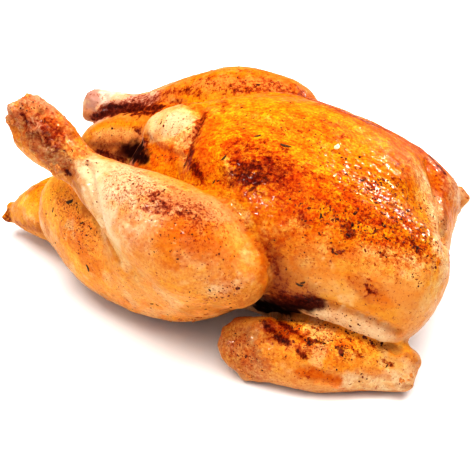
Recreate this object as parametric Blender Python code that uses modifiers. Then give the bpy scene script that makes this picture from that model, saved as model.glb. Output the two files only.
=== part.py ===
"""A whole roast chicken lying on its back, breast up, tail towards -X and neck towards +X.

Units are metres. The sizes below are given in millimetres and scaled by MM.
"""

import math

import bmesh
import bpy
import numpy as np
from mathutils import Matrix

MM = 0.001
NAME = "roast_chicken"

VOXEL = 2.0 * MM          # grain of the surface that fuses the forms
BLEND_ROUNDS = 14         # rounds that melt the forms of the trunk, or of the near leg, together
FAR_LEG_ROUNDS = 10       # the same in the far leg
CREASE_ROUNDS = 3         # rounds that soften where trunk, legs and wings meet
FACE_TARGET = 11000       # triangles left in the finished solid
REST_CUT = 1.2 * MM       # how deep the flat rest is cut into the round underside
SMOOTH_FACTOR = 0.5       # how far a round of smoothing moves a point
SIDES = 36                # points round a section
RINGS_PER_SPAN = 6        # rings between two stations
CAP_RINGS = 5             # rings in a rounded end

SKIN_COLOUR = (0.80, 0.40, 0.09, 1.0)
SKIN_ROUGHNESS = 0.42

# Each station of a form is (x, y, z, half width, half height) in millimetres. The spine runs
# through the stations, and the section stands square to it.
TORSO = [
    (-82, 0, 23, 26, 19),
    (-62, 0, 27, 33, 24),
    (-42, 0, 32, 40, 31),
    (-14, 0, 46, 44, 48),
    (22, 0, 52, 49, 52),
    (52, 0, 48, 54, 49),
    (76, 0, 43, 45, 43),
    (90, 0, 41, 31, 31),
]
NEAR_BREAST = [
    (-17, -13, 73, 15, 17),
    (2, -19, 68, 27, 33),
    (40, -27, 60, 34, 37),
    (76, -30, 49, 30, 34),
    (95, -31, 42, 26, 30),
]
FAR_BREAST = [
    (-19, 12, 71, 15, 16),
    (0, 18, 67, 26, 33),
    (35, 23, 58, 32, 36),
    (70, 24, 51, 28, 32),
    (88, 23, 46, 20, 27),
]
KEEL_TIP = [
    (-32, -4, 79, 16, 14),
    (-22, -4, 81, 19, 16),
    (-4, -2, 81, 18, 17),
]
TAIL = [
    (-84, 0, 25, 27, 21),
    (-104, 0, 22, 21, 17),
    (-120, 0, 17, 14, 11),
    (-131, 0, 13, 6, 5),
]
NEAR_THIGH = [
    (-77, -29, 41, 15, 23),
    (-53, -35, 39, 23, 32),
    (-17, -42, 39, 26, 33),
    (12, -48, 47, 24, 26),
    (27, -51, 53, 18, 19),
]
NEAR_DRUMSTICK = [
    (-80, -49, 96, 12, 14),
    (-67, -52, 90, 12, 13),
    (-51, -56, 83, 9, 10),
    (-35, -59, 77, 13, 14),
    (-8, -62, 67, 21, 22),
    (13, -63, 59, 23, 23),
    (28, -62, 53, 17, 18),
]
NEAR_KNEE = [
    (-18, -53, 51, 20, 29),
    (10, -56, 51, 22, 28),
    (25, -57, 52, 16, 20),
]
FAR_THIGH = [
    (-94, 34, 40, 14, 19),
    (-70, 38, 42, 21, 27),
    (-35, 46, 44, 26, 34),
    (-4, 52, 50, 25, 31),
    (12, 55, 55, 20, 24),
]
FAR_DRUMSTICK = [
    (-107, 51, 59, 9, 10),
    (-96, 51, 60, 8, 9),
    (-78, 53, 62, 8, 9),
    (-58, 57, 66, 14, 14),
    (-30, 60, 68, 22, 23),
    (-4, 62, 65, 22, 23),
]
NEAR_FOREARM = [
    (33, -61, 13, 11, 12),
    (45, -61, 15, 14, 14),
    (68, -57, 15, 14, 15),
    (89, -50, 13, 10, 12),
    (99, -47, 12, 9, 11),
]
NEAR_UPPER_ARM = [
    (42, -54, 13, 9, 10),
    (62, -45, 21, 11, 12),
    (86, -35, 28, 14, 16),
]
FAR_UPPER_ARM = [
    (36, 52, 18, 10, 11),
    (60, 45, 24, 11, 13),
    (82, 34, 28, 14, 16),
]
FAR_FOREARM = [
    (28, 62, 24, 12, 13),
    (60, 62, 33, 12, 14),
    (84, 58, 41, 8, 9),
    (90, 57, 43, 6, 8),
]
CAVITY = [
    (-110, 2, 54, 20, 16),
    (-75, 2, 50, 21, 17),
    (-50, 2, 47, 20, 17),
    (-24, 2, 46, 14, 12),
]
# Lumps that stand proud of a form: middle, spread along x, y and z, radius, number.
LUMPS = {
    "near_ankle_end": ((-82, -49, 97), (4, 9, 10), 4.0, 16),
    "near_ankle_side": ((-68, -52, 90), (10, 10, 9), 3.4, 8),
    "far_ankle_end": ((-108, 51, 59), (4, 6, 8), 4.2, 9),
    "near_elbow": ((40, -67, 7), (5, 3, 3), 4.2, 6),
    "near_wrist": ((101, -48, 13), (6, 7, 8), 3.8, 8),
    "far_wrist": ((92, 57, 43), (5, 4, 7), 3.6, 7),
    "tail_tip": ((-131, 0, 13), (5, 6, 4), 3.2, 6),
}
LUMP_SEED = 11
LUMP_SIZES = (0.7, 1.2)   # smallest and largest lump, as a share of the radius
# How far the dome at the first and last end reaches, as a share of the section there.
DOME_REACH = {
    "torso": (1.0, 0.45),
    "near_breast": (1.0, 0.6),
    "far_breast": (1.0, 0.6),
    "near_drumstick": (0.35, 1.0),
}


def clear_scene():
    for obj in list(bpy.data.objects):
        bpy.data.objects.remove(obj, do_unlink=True)


def collection_named(name):
    made = bpy.data.collections.new(name)
    bpy.context.scene.collection.children.link(made)
    return made


def smooth_through(stations, t):
    """The station at t, where whole numbers are the given ones, on a Catmull-Rom spline."""
    last = len(stations) - 1
    i = min(int(t), last - 1)
    f = t - i
    p0 = stations[max(i - 1, 0)]
    p1 = stations[i]
    p2 = stations[i + 1]
    p3 = stations[min(i + 2, last)]
    return 0.5 * (
        2 * p1 + (p2 - p0) * f + (2 * p0 - 5 * p1 + 4 * p2 - p3) * f**2
        + (3 * p1 - p0 - 3 * p2 + p3) * f**3
    )


def section_ring(centre, along, half_width, half_height):
    """Points round an ellipse that stands square to the direction along."""
    side = np.cross((0.0, 0.0, 1.0), along)
    side /= np.linalg.norm(side)
    rise = np.cross(along, side)
    angles = np.linspace(0, math.tau, SIDES, endpoint=False)
    return [
        centre + side * half_width * math.cos(a) + rise * half_height * math.sin(a)
        for a in angles
    ]


def rounded_sections(stations, dome_reach):
    """Centre, direction, half width and half height of every ring, with a dome at each end."""
    stations = np.array(stations, float) * MM
    steps = (len(stations) - 1) * RINGS_PER_SPAN
    rows = np.array([smooth_through(stations, i / RINGS_PER_SPAN) for i in range(steps + 1)])
    along = np.gradient(rows[:, :3], axis=0)
    along /= np.linalg.norm(along, axis=1)[:, None]
    sections = [(r[:3], d, r[3], r[4]) for r, d in zip(rows, along)]
    turns = [math.pi / 2 * (k + 1) / (CAP_RINGS + 1) for k in range(CAP_RINGS)]
    for end, way, share in ((0, -1, dome_reach[0]), (-1, 1, dome_reach[1])):
        centre, direction, width, height = sections[end]
        reach = min(width, height) * share
        dome = [
            (
                centre + direction * way * reach * math.sin(a),
                direction,
                width * math.cos(a),
                height * math.cos(a),
            )
            for a in turns
        ]
        sections = dome[::-1] + sections if way < 0 else sections + dome
    return sections


def loft(name, stations, collection):
    """A closed form through unlike sections, with rounded ends."""
    bm = bmesh.new()
    sections = rounded_sections(stations, DOME_REACH.get(name, (1.0, 1.0)))
    rings = [[bm.verts.new(p) for p in section_ring(*s)] for s in sections]
    for low, high in zip(rings, rings[1:]):
        for i in range(SIDES):
            j = (i + 1) % SIDES
            bm.faces.new((low[i], low[j], high[j], high[i]))
    bm.faces.new(rings[0][::-1])
    bm.faces.new(rings[-1])
    bmesh.ops.recalc_face_normals(bm, faces=bm.faces)
    mesh = bpy.data.meshes.new(name)
    bm.to_mesh(mesh)
    bm.free()
    obj = bpy.data.objects.new(name, mesh)
    collection.objects.link(obj)
    return obj


def lumps(name, centre, spread, radius, count, random, collection):
    """Small rough balls over an ellipsoid, as torn skin and gristle round a joint."""
    made = []
    for _ in range(count):
        way = random.normal(size=3)
        way /= np.linalg.norm(way)
        bm = bmesh.new()
        bmesh.ops.create_icosphere(
            bm, subdivisions=2, radius=radius * random.uniform(*LUMP_SIZES) * MM
        )
        place = (np.array(centre) + way * spread) * MM
        bmesh.ops.translate(bm, verts=bm.verts, vec=place)
        mesh = bpy.data.meshes.new(name)
        bm.to_mesh(mesh)
        bm.free()
        obj = bpy.data.objects.new(name, mesh)
        collection.objects.link(obj)
        made.append(obj)
    return made


def applied(obj):
    """The object with its modifiers made part of its mesh."""
    graph = bpy.context.evaluated_depsgraph_get()
    mesh = bpy.data.meshes.new_from_object(obj.evaluated_get(graph))
    obj.modifiers.clear()
    obj.data = mesh
    return obj


def fused(name, forms, collection, rounds):
    """One object from overlapping closed forms, with the creases between them softened."""
    bm = bmesh.new()
    for form in forms:
        bm.from_mesh(form.data)
        bpy.data.objects.remove(form, do_unlink=True)
    mesh = bpy.data.meshes.new(name)
    bm.to_mesh(mesh)
    bm.free()
    obj = bpy.data.objects.new(name, mesh)
    collection.objects.link(obj)
    remesh = obj.modifiers.new("fuse", "REMESH")
    remesh.mode = "VOXEL"
    remesh.voxel_size = VOXEL
    smooth = obj.modifiers.new("soften", "SMOOTH")
    smooth.factor = SMOOTH_FACTOR
    smooth.iterations = rounds
    return applied(obj)


def cut_with(obj, cutter):
    """The object without what lies inside the cutter, which is used up."""
    boolean = obj.modifiers.new("cut", "BOOLEAN")
    boolean.operation = "DIFFERENCE"
    boolean.solver = "EXACT"
    boolean.object = cutter
    applied(obj)
    bpy.data.objects.remove(cutter, do_unlink=True)
    return obj


def chicken_form(collection):
    """The whole bird as one fused form in the modelling frame."""
    body = [
        loft("torso", TORSO, collection),
        loft("near_breast", NEAR_BREAST, collection),
        loft("far_breast", FAR_BREAST, collection),
        loft("tail", TAIL, collection),
    ]
    trunk = fused("trunk", body, collection, BLEND_ROUNDS)
    cut_with(trunk, loft("cavity", CAVITY, collection))
    near_leg = fused(
        "near_leg",
        [
            loft("near_thigh", NEAR_THIGH, collection),
            loft("near_drumstick", NEAR_DRUMSTICK, collection),
            loft("near_knee", NEAR_KNEE, collection),
        ],
        collection, BLEND_ROUNDS,
    )
    far_leg = fused(
        "far_leg",
        [
            loft("far_thigh", FAR_THIGH, collection),
            loft("far_drumstick", FAR_DRUMSTICK, collection),
        ],
        collection, FAR_LEG_ROUNDS,
    )
    random = np.random.default_rng(LUMP_SEED)
    rough = [
        ball
        for name, (centre, spread, radius, count) in LUMPS.items()
        for ball in lumps(name, centre, spread, radius, count, random, collection)
    ]
    loose = [
        loft("keel_tip", KEEL_TIP, collection),
        loft("near_upper_arm", NEAR_UPPER_ARM, collection),
        loft("far_upper_arm", FAR_UPPER_ARM, collection),
        loft("near_forearm", NEAR_FOREARM, collection),
        loft("far_forearm", FAR_FOREARM, collection),
    ]
    everything = [trunk, near_leg, far_leg, *loose, *rough]
    return fused(NAME, everything, collection, CREASE_ROUNDS)


def thinned(obj, triangles):
    """The same surface with about that many triangles, fewer where it is flat."""
    now = sum(len(p.vertices) - 2 for p in obj.data.polygons)
    decimate = obj.modifiers.new("thin", "DECIMATE")
    decimate.ratio = min(1.0, triangles / now)
    decimate.use_collapse_triangulate = True
    return applied(obj)


def rested(obj, collection):
    """A flat cut under the bird, so that it stands on level spots of back, thighs and wings."""
    bm = bmesh.new()
    bmesh.ops.create_cube(bm, size=1.0)
    mesh = bpy.data.meshes.new("rest_cutter")
    bm.to_mesh(mesh)
    bm.free()
    low = min(v.co.z for v in obj.data.vertices)
    mesh.transform(Matrix.Translation((0.0, 0.0, low + REST_CUT - 0.5)))
    cutter = bpy.data.objects.new("rest_cutter", mesh)
    collection.objects.link(cutter)
    return cut_with(obj, cutter)


def centred(obj):
    """The origin moved to the middle of the bounding box's bottom face."""
    corners = np.array([v.co for v in obj.data.vertices])
    low, high = corners.min(axis=0), corners.max(axis=0)
    middle = (low + high) / 2
    obj.data.transform(Matrix.Translation((-middle[0], -middle[1], -low[2])))
    return obj


def skin_material():
    material = bpy.data.materials.new("roast_skin")
    material.use_nodes = True
    shader = material.node_tree.nodes["Principled BSDF"]
    shader.inputs["Base Color"].default_value = SKIN_COLOUR
    shader.inputs["Roughness"].default_value = SKIN_ROUGHNESS
    shader.inputs["Metallic"].default_value = 0.0
    return material


def main():
    clear_scene()
    parts = collection_named(NAME)
    cutters = collection_named("cutters")
    bird = chicken_form(parts)
    thinned(bird, FACE_TARGET)
    rested(bird, cutters)
    centred(bird)
    bird.data.materials.clear()
    bird.data.materials.append(skin_material())
    bird.data.shade_smooth()


if __name__ == "__main__":
    main()
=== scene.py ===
"""Looks of a whole roast chicken: skin relief, browning, seasoning, floor, light and camera.

Units are metres. Sizes of the bird are given in millimetres and scaled by MM. Places on the
skin are given as pixels of the 474 x 474 photograph and cast onto the skin from the camera,
so that each mark sits on what carries it. The marks are strokes, each with a tone, a
strength, a half width and a path, painted in the order of their lists: a later one covers
an earlier one.
"""

import math

import bmesh
import bpy
import numpy as np
from mathutils import Matrix, Vector
from mathutils.bvhtree import BVHTree


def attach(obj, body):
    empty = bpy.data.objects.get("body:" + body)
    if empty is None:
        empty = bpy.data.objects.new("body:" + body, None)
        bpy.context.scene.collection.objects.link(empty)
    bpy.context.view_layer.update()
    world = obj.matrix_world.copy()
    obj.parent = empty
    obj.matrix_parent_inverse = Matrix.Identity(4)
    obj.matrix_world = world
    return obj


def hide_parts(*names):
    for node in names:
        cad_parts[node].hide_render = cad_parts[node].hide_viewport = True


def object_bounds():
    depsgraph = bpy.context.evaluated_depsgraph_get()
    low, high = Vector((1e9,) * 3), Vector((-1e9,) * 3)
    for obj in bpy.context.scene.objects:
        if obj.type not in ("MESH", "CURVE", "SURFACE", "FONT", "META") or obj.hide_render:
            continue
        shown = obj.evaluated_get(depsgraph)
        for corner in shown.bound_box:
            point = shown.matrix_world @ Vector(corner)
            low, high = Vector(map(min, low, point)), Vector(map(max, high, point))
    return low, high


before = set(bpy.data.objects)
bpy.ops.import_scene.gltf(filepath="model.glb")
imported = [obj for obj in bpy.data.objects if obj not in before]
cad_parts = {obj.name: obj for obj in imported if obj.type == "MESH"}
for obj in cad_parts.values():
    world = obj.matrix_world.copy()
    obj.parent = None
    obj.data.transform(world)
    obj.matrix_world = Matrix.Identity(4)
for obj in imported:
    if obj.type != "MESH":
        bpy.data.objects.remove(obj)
cad_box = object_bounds()

MM = 0.001
NODE = "roast_chicken"

# Camera, in the frame that the forms below are modelled in
PHOTO_SIZE = 474
CAMERA_AZIMUTH = math.radians(25)
CAMERA_RISE = math.radians(30)
CAMERA_DISTANCE = 600 * MM
CAMERA_TARGET = (0.0, 0.0, 30 * MM)
PIXELS_PER_MM = 2.05
SENSOR_MM = 36.0

# Form of the bird
VOXEL = 2.0 * MM
SMOOTH_FACTOR = 0.5
BLEND_ROUNDS = 14
FAR_LEG_ROUNDS = 10
CREASE_ROUNDS = 3
SIDES = 36
RINGS_PER_SPAN = 6
CAP_RINGS = 5

# Each station is (x, y, z, half width, half height) in millimetres, along the form's spine.
FORMS = {
    "torso": [
        (-82, 0, 23, 26, 19),
        (-62, 0, 27, 33, 24),
        (-42, 0, 32, 40, 31),
        (-14, 0, 46, 44, 48),
        (22, 0, 52, 49, 52),
        (52, 0, 48, 54, 49),
        (76, 0, 43, 45, 43),
        (90, 0, 41, 31, 31),
    ],
    "near_breast": [
        (-17, -13, 73, 15, 17),
        (2, -19, 68, 27, 33),
        (40, -27, 60, 34, 37),
        (76, -30, 49, 30, 34),
        (95, -31, 42, 26, 30),
    ],
    "far_breast": [
        (-19, 12, 71, 15, 16),
        (0, 18, 67, 26, 33),
        (35, 23, 58, 32, 36),
        (70, 24, 51, 28, 32),
        (88, 23, 46, 20, 27),
    ],
    "keel_tip": [
        (-32, -4, 79, 16, 14),
        (-22, -4, 81, 19, 16),
        (-4, -2, 81, 18, 17),
    ],
    "tail": [
        (-84, 0, 25, 27, 21),
        (-104, 0, 22, 21, 17),
        (-120, 0, 17, 14, 11),
        (-131, 0, 13, 6, 5),
    ],
    "near_thigh": [
        (-77, -29, 41, 15, 23),
        (-53, -35, 39, 23, 32),
        (-17, -42, 39, 26, 33),
        (12, -48, 47, 24, 26),
        (27, -51, 53, 18, 19),
    ],
    "near_drumstick": [
        (-80, -49, 96, 12, 14),
        (-67, -52, 90, 12, 13),
        (-51, -56, 83, 9, 10),
        (-35, -59, 77, 13, 14),
        (-8, -62, 67, 21, 22),
        (13, -63, 59, 23, 23),
        (28, -62, 53, 17, 18),
    ],
    "near_knee": [
        (-18, -53, 51, 20, 29),
        (10, -56, 51, 22, 28),
        (25, -57, 52, 16, 20),
    ],
    "far_thigh": [
        (-94, 34, 40, 14, 19),
        (-70, 38, 42, 21, 27),
        (-35, 46, 44, 26, 34),
        (-4, 52, 50, 25, 31),
        (12, 55, 55, 20, 24),
    ],
    "far_drumstick": [
        (-107, 51, 59, 9, 10),
        (-96, 51, 60, 8, 9),
        (-78, 53, 62, 8, 9),
        (-58, 57, 66, 14, 14),
        (-30, 60, 68, 22, 23),
        (-4, 62, 65, 22, 23),
    ],
    "near_forearm": [
        (33, -61, 13, 11, 12),
        (45, -61, 15, 14, 14),
        (68, -57, 15, 14, 15),
        (89, -50, 13, 10, 12),
        (99, -47, 12, 9, 11),
    ],
    "near_upper_arm": [
        (42, -54, 13, 9, 10),
        (62, -45, 21, 11, 12),
        (86, -35, 28, 14, 16),
    ],
    "far_upper_arm": [
        (36, 52, 18, 10, 11),
        (60, 45, 24, 11, 13),
        (82, 34, 28, 14, 16),
    ],
    "far_forearm": [
        (28, 62, 24, 12, 13),
        (60, 62, 33, 12, 14),
        (84, 58, 41, 8, 9),
        (90, 57, 43, 6, 8),
    ],
    "cavity": [
        (-110, 2, 54, 20, 16),
        (-75, 2, 50, 21, 17),
        (-50, 2, 47, 20, 17),
        (-24, 2, 46, 14, 12),
    ],
}
# Lumps that stand proud of a form: middle, spread along x, y and z, radius, number.
LUMPS = {
    "near_ankle_end": ((-82, -49, 97), (4, 9, 10), 4.0, 16),
    "near_ankle_side": ((-68, -52, 90), (10, 10, 9), 3.4, 8),
    "far_ankle_end": ((-108, 51, 59), (4, 6, 8), 4.2, 9),
    "near_elbow": ((40, -67, 7), (5, 3, 3), 4.2, 6),
    "near_wrist": ((101, -48, 13), (6, 7, 8), 3.8, 8),
    "far_wrist": ((92, 57, 43), (5, 4, 7), 3.6, 7),
    "tail_tip": ((-131, 0, 13), (5, 6, 4), 3.2, 6),
}
LUMP_SEED = 11
LUMP_SIZES = (0.7, 1.2)
# How far the dome at the first and last end reaches, as a share of the section there.
DOME_REACH = {
    "torso": (1.0, 0.45),
    "near_breast": (1.0, 0.6),
    "far_breast": (1.0, 0.6),
    "near_drumstick": (0.35, 1.0),
}

# Tones of the skin, linear
TONES = {
    "lemon": (0.56, 0.255, 0.018),
    "golden": (0.56, 0.215, 0.004),
    "amber": (0.50, 0.140, 0.003),
    "orange": (0.45, 0.102, 0.003),
    "rust": (0.29, 0.046, 0.005),
    "burnt": (0.13, 0.020, 0.006),
    "char": (0.040, 0.007, 0.004),
    "cream": (0.56, 0.33, 0.115),
    "pale": (0.60, 0.42, 0.245),
    "pearl": (0.70, 0.53, 0.40),
    "peach": (0.56, 0.245, 0.058),
    # Apricot and honey are brighter than the skin's own tones: painted light, laid where the skin
    # lies in shade.
    "apricot": (0.78, 0.310, 0.060),
    "honey": (0.88, 0.400, 0.050),
    "flesh": (0.52, 0.28, 0.14),
    "pink": (0.47, 0.27, 0.20),
    "rose": (0.38, 0.20, 0.155),
    "tan": (0.46, 0.185, 0.070),
    "ochre": (0.43, 0.165, 0.018),
    "brown": (0.22, 0.052, 0.012),
    "grey": (0.37, 0.180, 0.085),
    # Near black: painted shade for gaps and the depths of the body's opening.
    "hollow": (0.020, 0.0025, 0.0015),
}
# How much a stroke of a dark tone adds to the fine dark grain that the material draws.
BURNING = {"rust": 0.50, "burnt": 0.85, "char": 1.0, "brown": 0.20}


def smooth_through(stations, t):
    """The station at t, where whole numbers are the given ones, on a Catmull-Rom spline."""
    last = len(stations) - 1
    i = min(int(t), last - 1)
    f = t - i
    p0 = stations[max(i - 1, 0)]
    p1 = stations[i]
    p2 = stations[i + 1]
    p3 = stations[min(i + 2, last)]
    return 0.5 * (
        2 * p1 + (p2 - p0) * f + (2 * p0 - 5 * p1 + 4 * p2 - p3) * f**2
        + (3 * p1 - p0 - 3 * p2 + p3) * f**3
    )


def section_ring(centre, along, half_width, half_height):
    """Points round an ellipse that stands square to the direction along."""
    side = np.cross((0.0, 0.0, 1.0), along)
    side /= np.linalg.norm(side)
    rise = np.cross(along, side)
    angles = np.linspace(0, math.tau, SIDES, endpoint=False)
    return [
        centre + side * half_width * math.cos(a) + rise * half_height * math.sin(a)
        for a in angles
    ]


def rounded_sections(stations, dome_reach):
    """Centre, direction, half width and half height of every ring, with a dome at each end."""
    stations = np.array(stations, float) * MM
    steps = (len(stations) - 1) * RINGS_PER_SPAN
    rows = np.array([smooth_through(stations, i / RINGS_PER_SPAN) for i in range(steps + 1)])
    along = np.gradient(rows[:, :3], axis=0)
    along /= np.linalg.norm(along, axis=1)[:, None]
    sections = [(r[:3], d, r[3], r[4]) for r, d in zip(rows, along)]
    turns = [math.pi / 2 * (k + 1) / (CAP_RINGS + 1) for k in range(CAP_RINGS)]
    for end, way, share in ((0, -1, dome_reach[0]), (-1, 1, dome_reach[1])):
        centre, direction, width, height = sections[end]
        reach = min(width, height) * share
        dome = [
            (
                centre + direction * way * reach * math.sin(a),
                direction,
                width * math.cos(a),
                height * math.cos(a),
            )
            for a in turns
        ]
        sections = dome[::-1] + sections if way < 0 else sections + dome
    return sections


def object_from(bm, name):
    mesh = bpy.data.meshes.new(name)
    bm.to_mesh(mesh)
    bm.free()
    obj = bpy.data.objects.new(name, mesh)
    bpy.context.scene.collection.objects.link(obj)
    return obj


def loft(name):
    """A closed form through its sections, with rounded ends."""
    bm = bmesh.new()
    sections = rounded_sections(FORMS[name], DOME_REACH.get(name, (1.0, 1.0)))
    rings = [[bm.verts.new(p) for p in section_ring(*s)] for s in sections]
    for low, high in zip(rings, rings[1:]):
        for i in range(SIDES):
            j = (i + 1) % SIDES
            bm.faces.new((low[i], low[j], high[j], high[i]))
    bm.faces.new(rings[0][::-1])
    bm.faces.new(rings[-1])
    bmesh.ops.recalc_face_normals(bm, faces=bm.faces)
    return object_from(bm, name)


def lumps(name, centre, spread, radius, count, random):
    """Small rough balls over an ellipsoid, as torn skin and gristle round a joint."""
    made = []
    for _ in range(count):
        way = random.normal(size=3)
        way /= np.linalg.norm(way)
        bm = bmesh.new()
        size = radius * random.uniform(*LUMP_SIZES) * MM
        bmesh.ops.create_icosphere(bm, subdivisions=2, radius=size)
        bmesh.ops.translate(bm, verts=bm.verts, vec=(np.array(centre) + way * spread) * MM)
        made.append(object_from(bm, name))
    return made


def applied(obj):
    """The object with its modifiers made part of its mesh."""
    graph = bpy.context.evaluated_depsgraph_get()
    mesh = bpy.data.meshes.new_from_object(obj.evaluated_get(graph))
    obj.modifiers.clear()
    obj.data = mesh
    return obj


def fused(name, forms, rounds):
    """One object from overlapping closed forms, with the creases between them softened."""
    bm = bmesh.new()
    for form in forms:
        bm.from_mesh(form.data)
        bpy.data.objects.remove(form, do_unlink=True)
    obj = object_from(bm, name)
    remesh = obj.modifiers.new("fuse", "REMESH")
    remesh.mode = "VOXEL"
    remesh.voxel_size = VOXEL
    smooth = obj.modifiers.new("soften", "SMOOTH")
    smooth.factor = SMOOTH_FACTOR
    smooth.iterations = rounds
    return applied(obj)


def cut_with(obj, cutter):
    boolean = obj.modifiers.new("cut", "BOOLEAN")
    boolean.operation = "DIFFERENCE"
    boolean.solver = "EXACT"
    boolean.object = cutter
    applied(obj)
    return obj


def points_of(obj):
    """The object's vertices as an array of points."""
    flat = np.empty(len(obj.data.vertices) * 3)
    obj.data.vertices.foreach_get("co", flat)
    return flat.reshape(-1, 3)


def tree_of(obj):
    bm = bmesh.new()
    bm.from_mesh(obj.data)
    tree = BVHTree.FromBMesh(bm)
    bm.free()
    return tree


def bird_form():
    """The whole bird as one fused form in the modelling frame, and a search tree per member."""
    trunk = fused("trunk", [loft(n) for n in ("torso", "near_breast", "far_breast", "tail")],
                  BLEND_ROUNDS)
    cavity = loft("cavity")
    cut_with(trunk, cavity)
    near_leg = fused("near_leg", [loft(n) for n in ("near_thigh", "near_drumstick", "near_knee")],
                     BLEND_ROUNDS)
    far_leg = fused("far_leg", [loft(n) for n in ("far_thigh", "far_drumstick")], FAR_LEG_ROUNDS)
    random = np.random.default_rng(LUMP_SEED)
    rough = [
        ball
        for name, (centre, spread, radius, count) in LUMPS.items()
        for ball in lumps(name, centre, spread, radius, count, random)
    ]
    loose = [
        loft(n)
        for n in ("keel_tip", "near_upper_arm", "far_upper_arm", "near_forearm", "far_forearm")
    ]
    members = {o.name.split(".")[0]: o for o in [trunk, near_leg, far_leg, *loose, cavity]}
    trees = {name: tree_of(o) for name, o in members.items()}
    bpy.data.objects.remove(cavity, do_unlink=True)
    return fused("skin", [trunk, near_leg, far_leg, *loose, *rough], CREASE_ROUNDS), trees


# Noise
TABLE_SIZE = 4096
LATTICE_PRIMES = (73856093, 19349663, 83492791)


def lattice(points, seed):
    """Smooth noise from -1 to 1 on a unit grid."""
    table = np.random.default_rng(seed).uniform(-1, 1, TABLE_SIZE)
    cell = np.floor(points).astype(np.int64)
    f = points - cell
    f = f * f * (3 - 2 * f)
    total = np.zeros(len(points))
    for corner in np.ndindex(2, 2, 2):
        key = np.zeros(len(points), np.int64)
        for axis, prime in enumerate(LATTICE_PRIMES):
            key ^= (cell[:, axis] + corner[axis]) * prime
        weight = np.prod(np.where(corner, f, 1 - f), axis=1)
        total += table[key & (TABLE_SIZE - 1)] * weight
    return total


def cloud(points, size, seed, octaves=3):
    """Noise of about -1 to 1 whose patches are about size millimetres, with finer ones in them."""
    turn, _ = np.linalg.qr(np.random.default_rng(seed).normal(size=(3, 3)))
    q = points / (size * MM) @ turn
    total = np.zeros(len(points))
    for k in range(octaves):
        total += lattice(q * 2**k, seed + k) * 0.5**k
    return total


def ease(value, low, high):
    """0 below low, 1 above high and a smooth step between."""
    t = np.clip((value - low) / (high - low), 0, 1)
    return t * t * (3 - 2 * t)


class Lens:
    """The photograph's camera, with pixels counted from the upper left."""

    def __init__(self, shift):
        ca, sa = math.cos(CAMERA_AZIMUTH), math.sin(CAMERA_AZIMUTH)
        ce, se = math.cos(CAMERA_RISE), math.sin(CAMERA_RISE)
        self.back = Vector((sa * ce, -ca * ce, se))
        self.right = Vector((ca, sa, 0))
        self.up = self.back.cross(self.right)
        self.shift = Vector(shift)
        self.place = Vector(CAMERA_TARGET) + self.shift + self.back * CAMERA_DISTANCE
        self.focal_pixels = PIXELS_PER_MM * CAMERA_DISTANCE / MM

    def ray(self, x, y):
        middle = PHOTO_SIZE / 2
        across = (x - middle) / self.focal_pixels
        rise = (middle - y) / self.focal_pixels
        return (self.right * across + self.up * rise - self.back).normalized()

    def camera(self):
        data = bpy.data.cameras.new("photo_camera")
        data.sensor_width = SENSOR_MM
        data.lens = self.focal_pixels / PHOTO_SIZE * SENSOR_MM
        data.clip_start = 10 * MM
        obj = bpy.data.objects.new("photo_camera", data)
        axes = (self.right, self.up, self.back, self.place)
        obj.matrix_world = Matrix([[v[i] for v in axes] for i in range(3)] + [[0, 0, 0, 1]])
        bpy.context.scene.collection.objects.link(obj)
        bpy.context.scene.camera = obj


MEMBERS = ("trunk", "keel_tip", "near_leg", "far_leg", "near_upper_arm", "near_forearm",
           "far_upper_arm", "far_forearm")
GROOVE_PAIRS = (("trunk", "near_leg"), ("trunk", "far_leg"), ("trunk", "near_upper_arm"),
                ("near_upper_arm", "near_forearm"), ("trunk", "near_forearm"),
                ("trunk", "far_upper_arm"), ("far_upper_arm", "far_forearm"))
GROOVE_WIDTH = 2.4 * MM
GROOVE_DEPTH = 2.2 * MM
TRACE_STEP = 3.0            # pixels between two points of a traced stroke
TRACE_JUMP = 14 * MM        # a longer step than this leaves the skin and is skipped
# Edge of a stroke: where its cover fades, how far it is looked for and how wide the patches of
# the noise that makes it uneven are, in half widths, and the fine noise that frays it
EDGE_FADE = (0.30, 1.30)
EDGE_REACH = 1.7
EDGE_PATCH = 0.6
EDGE_PATCH_LEAST = 1.6      # millimetres
FRAY_SIZE = 1.3             # millimetres
FRAY_SHARE = 0.6
FRAY_SEED = 900
STROKE_SEED = 200
ROUGH_SEED = 100
BURNT_THINNER = 0.4         # a stroke that adds dark grain colours the skin by this share less


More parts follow.
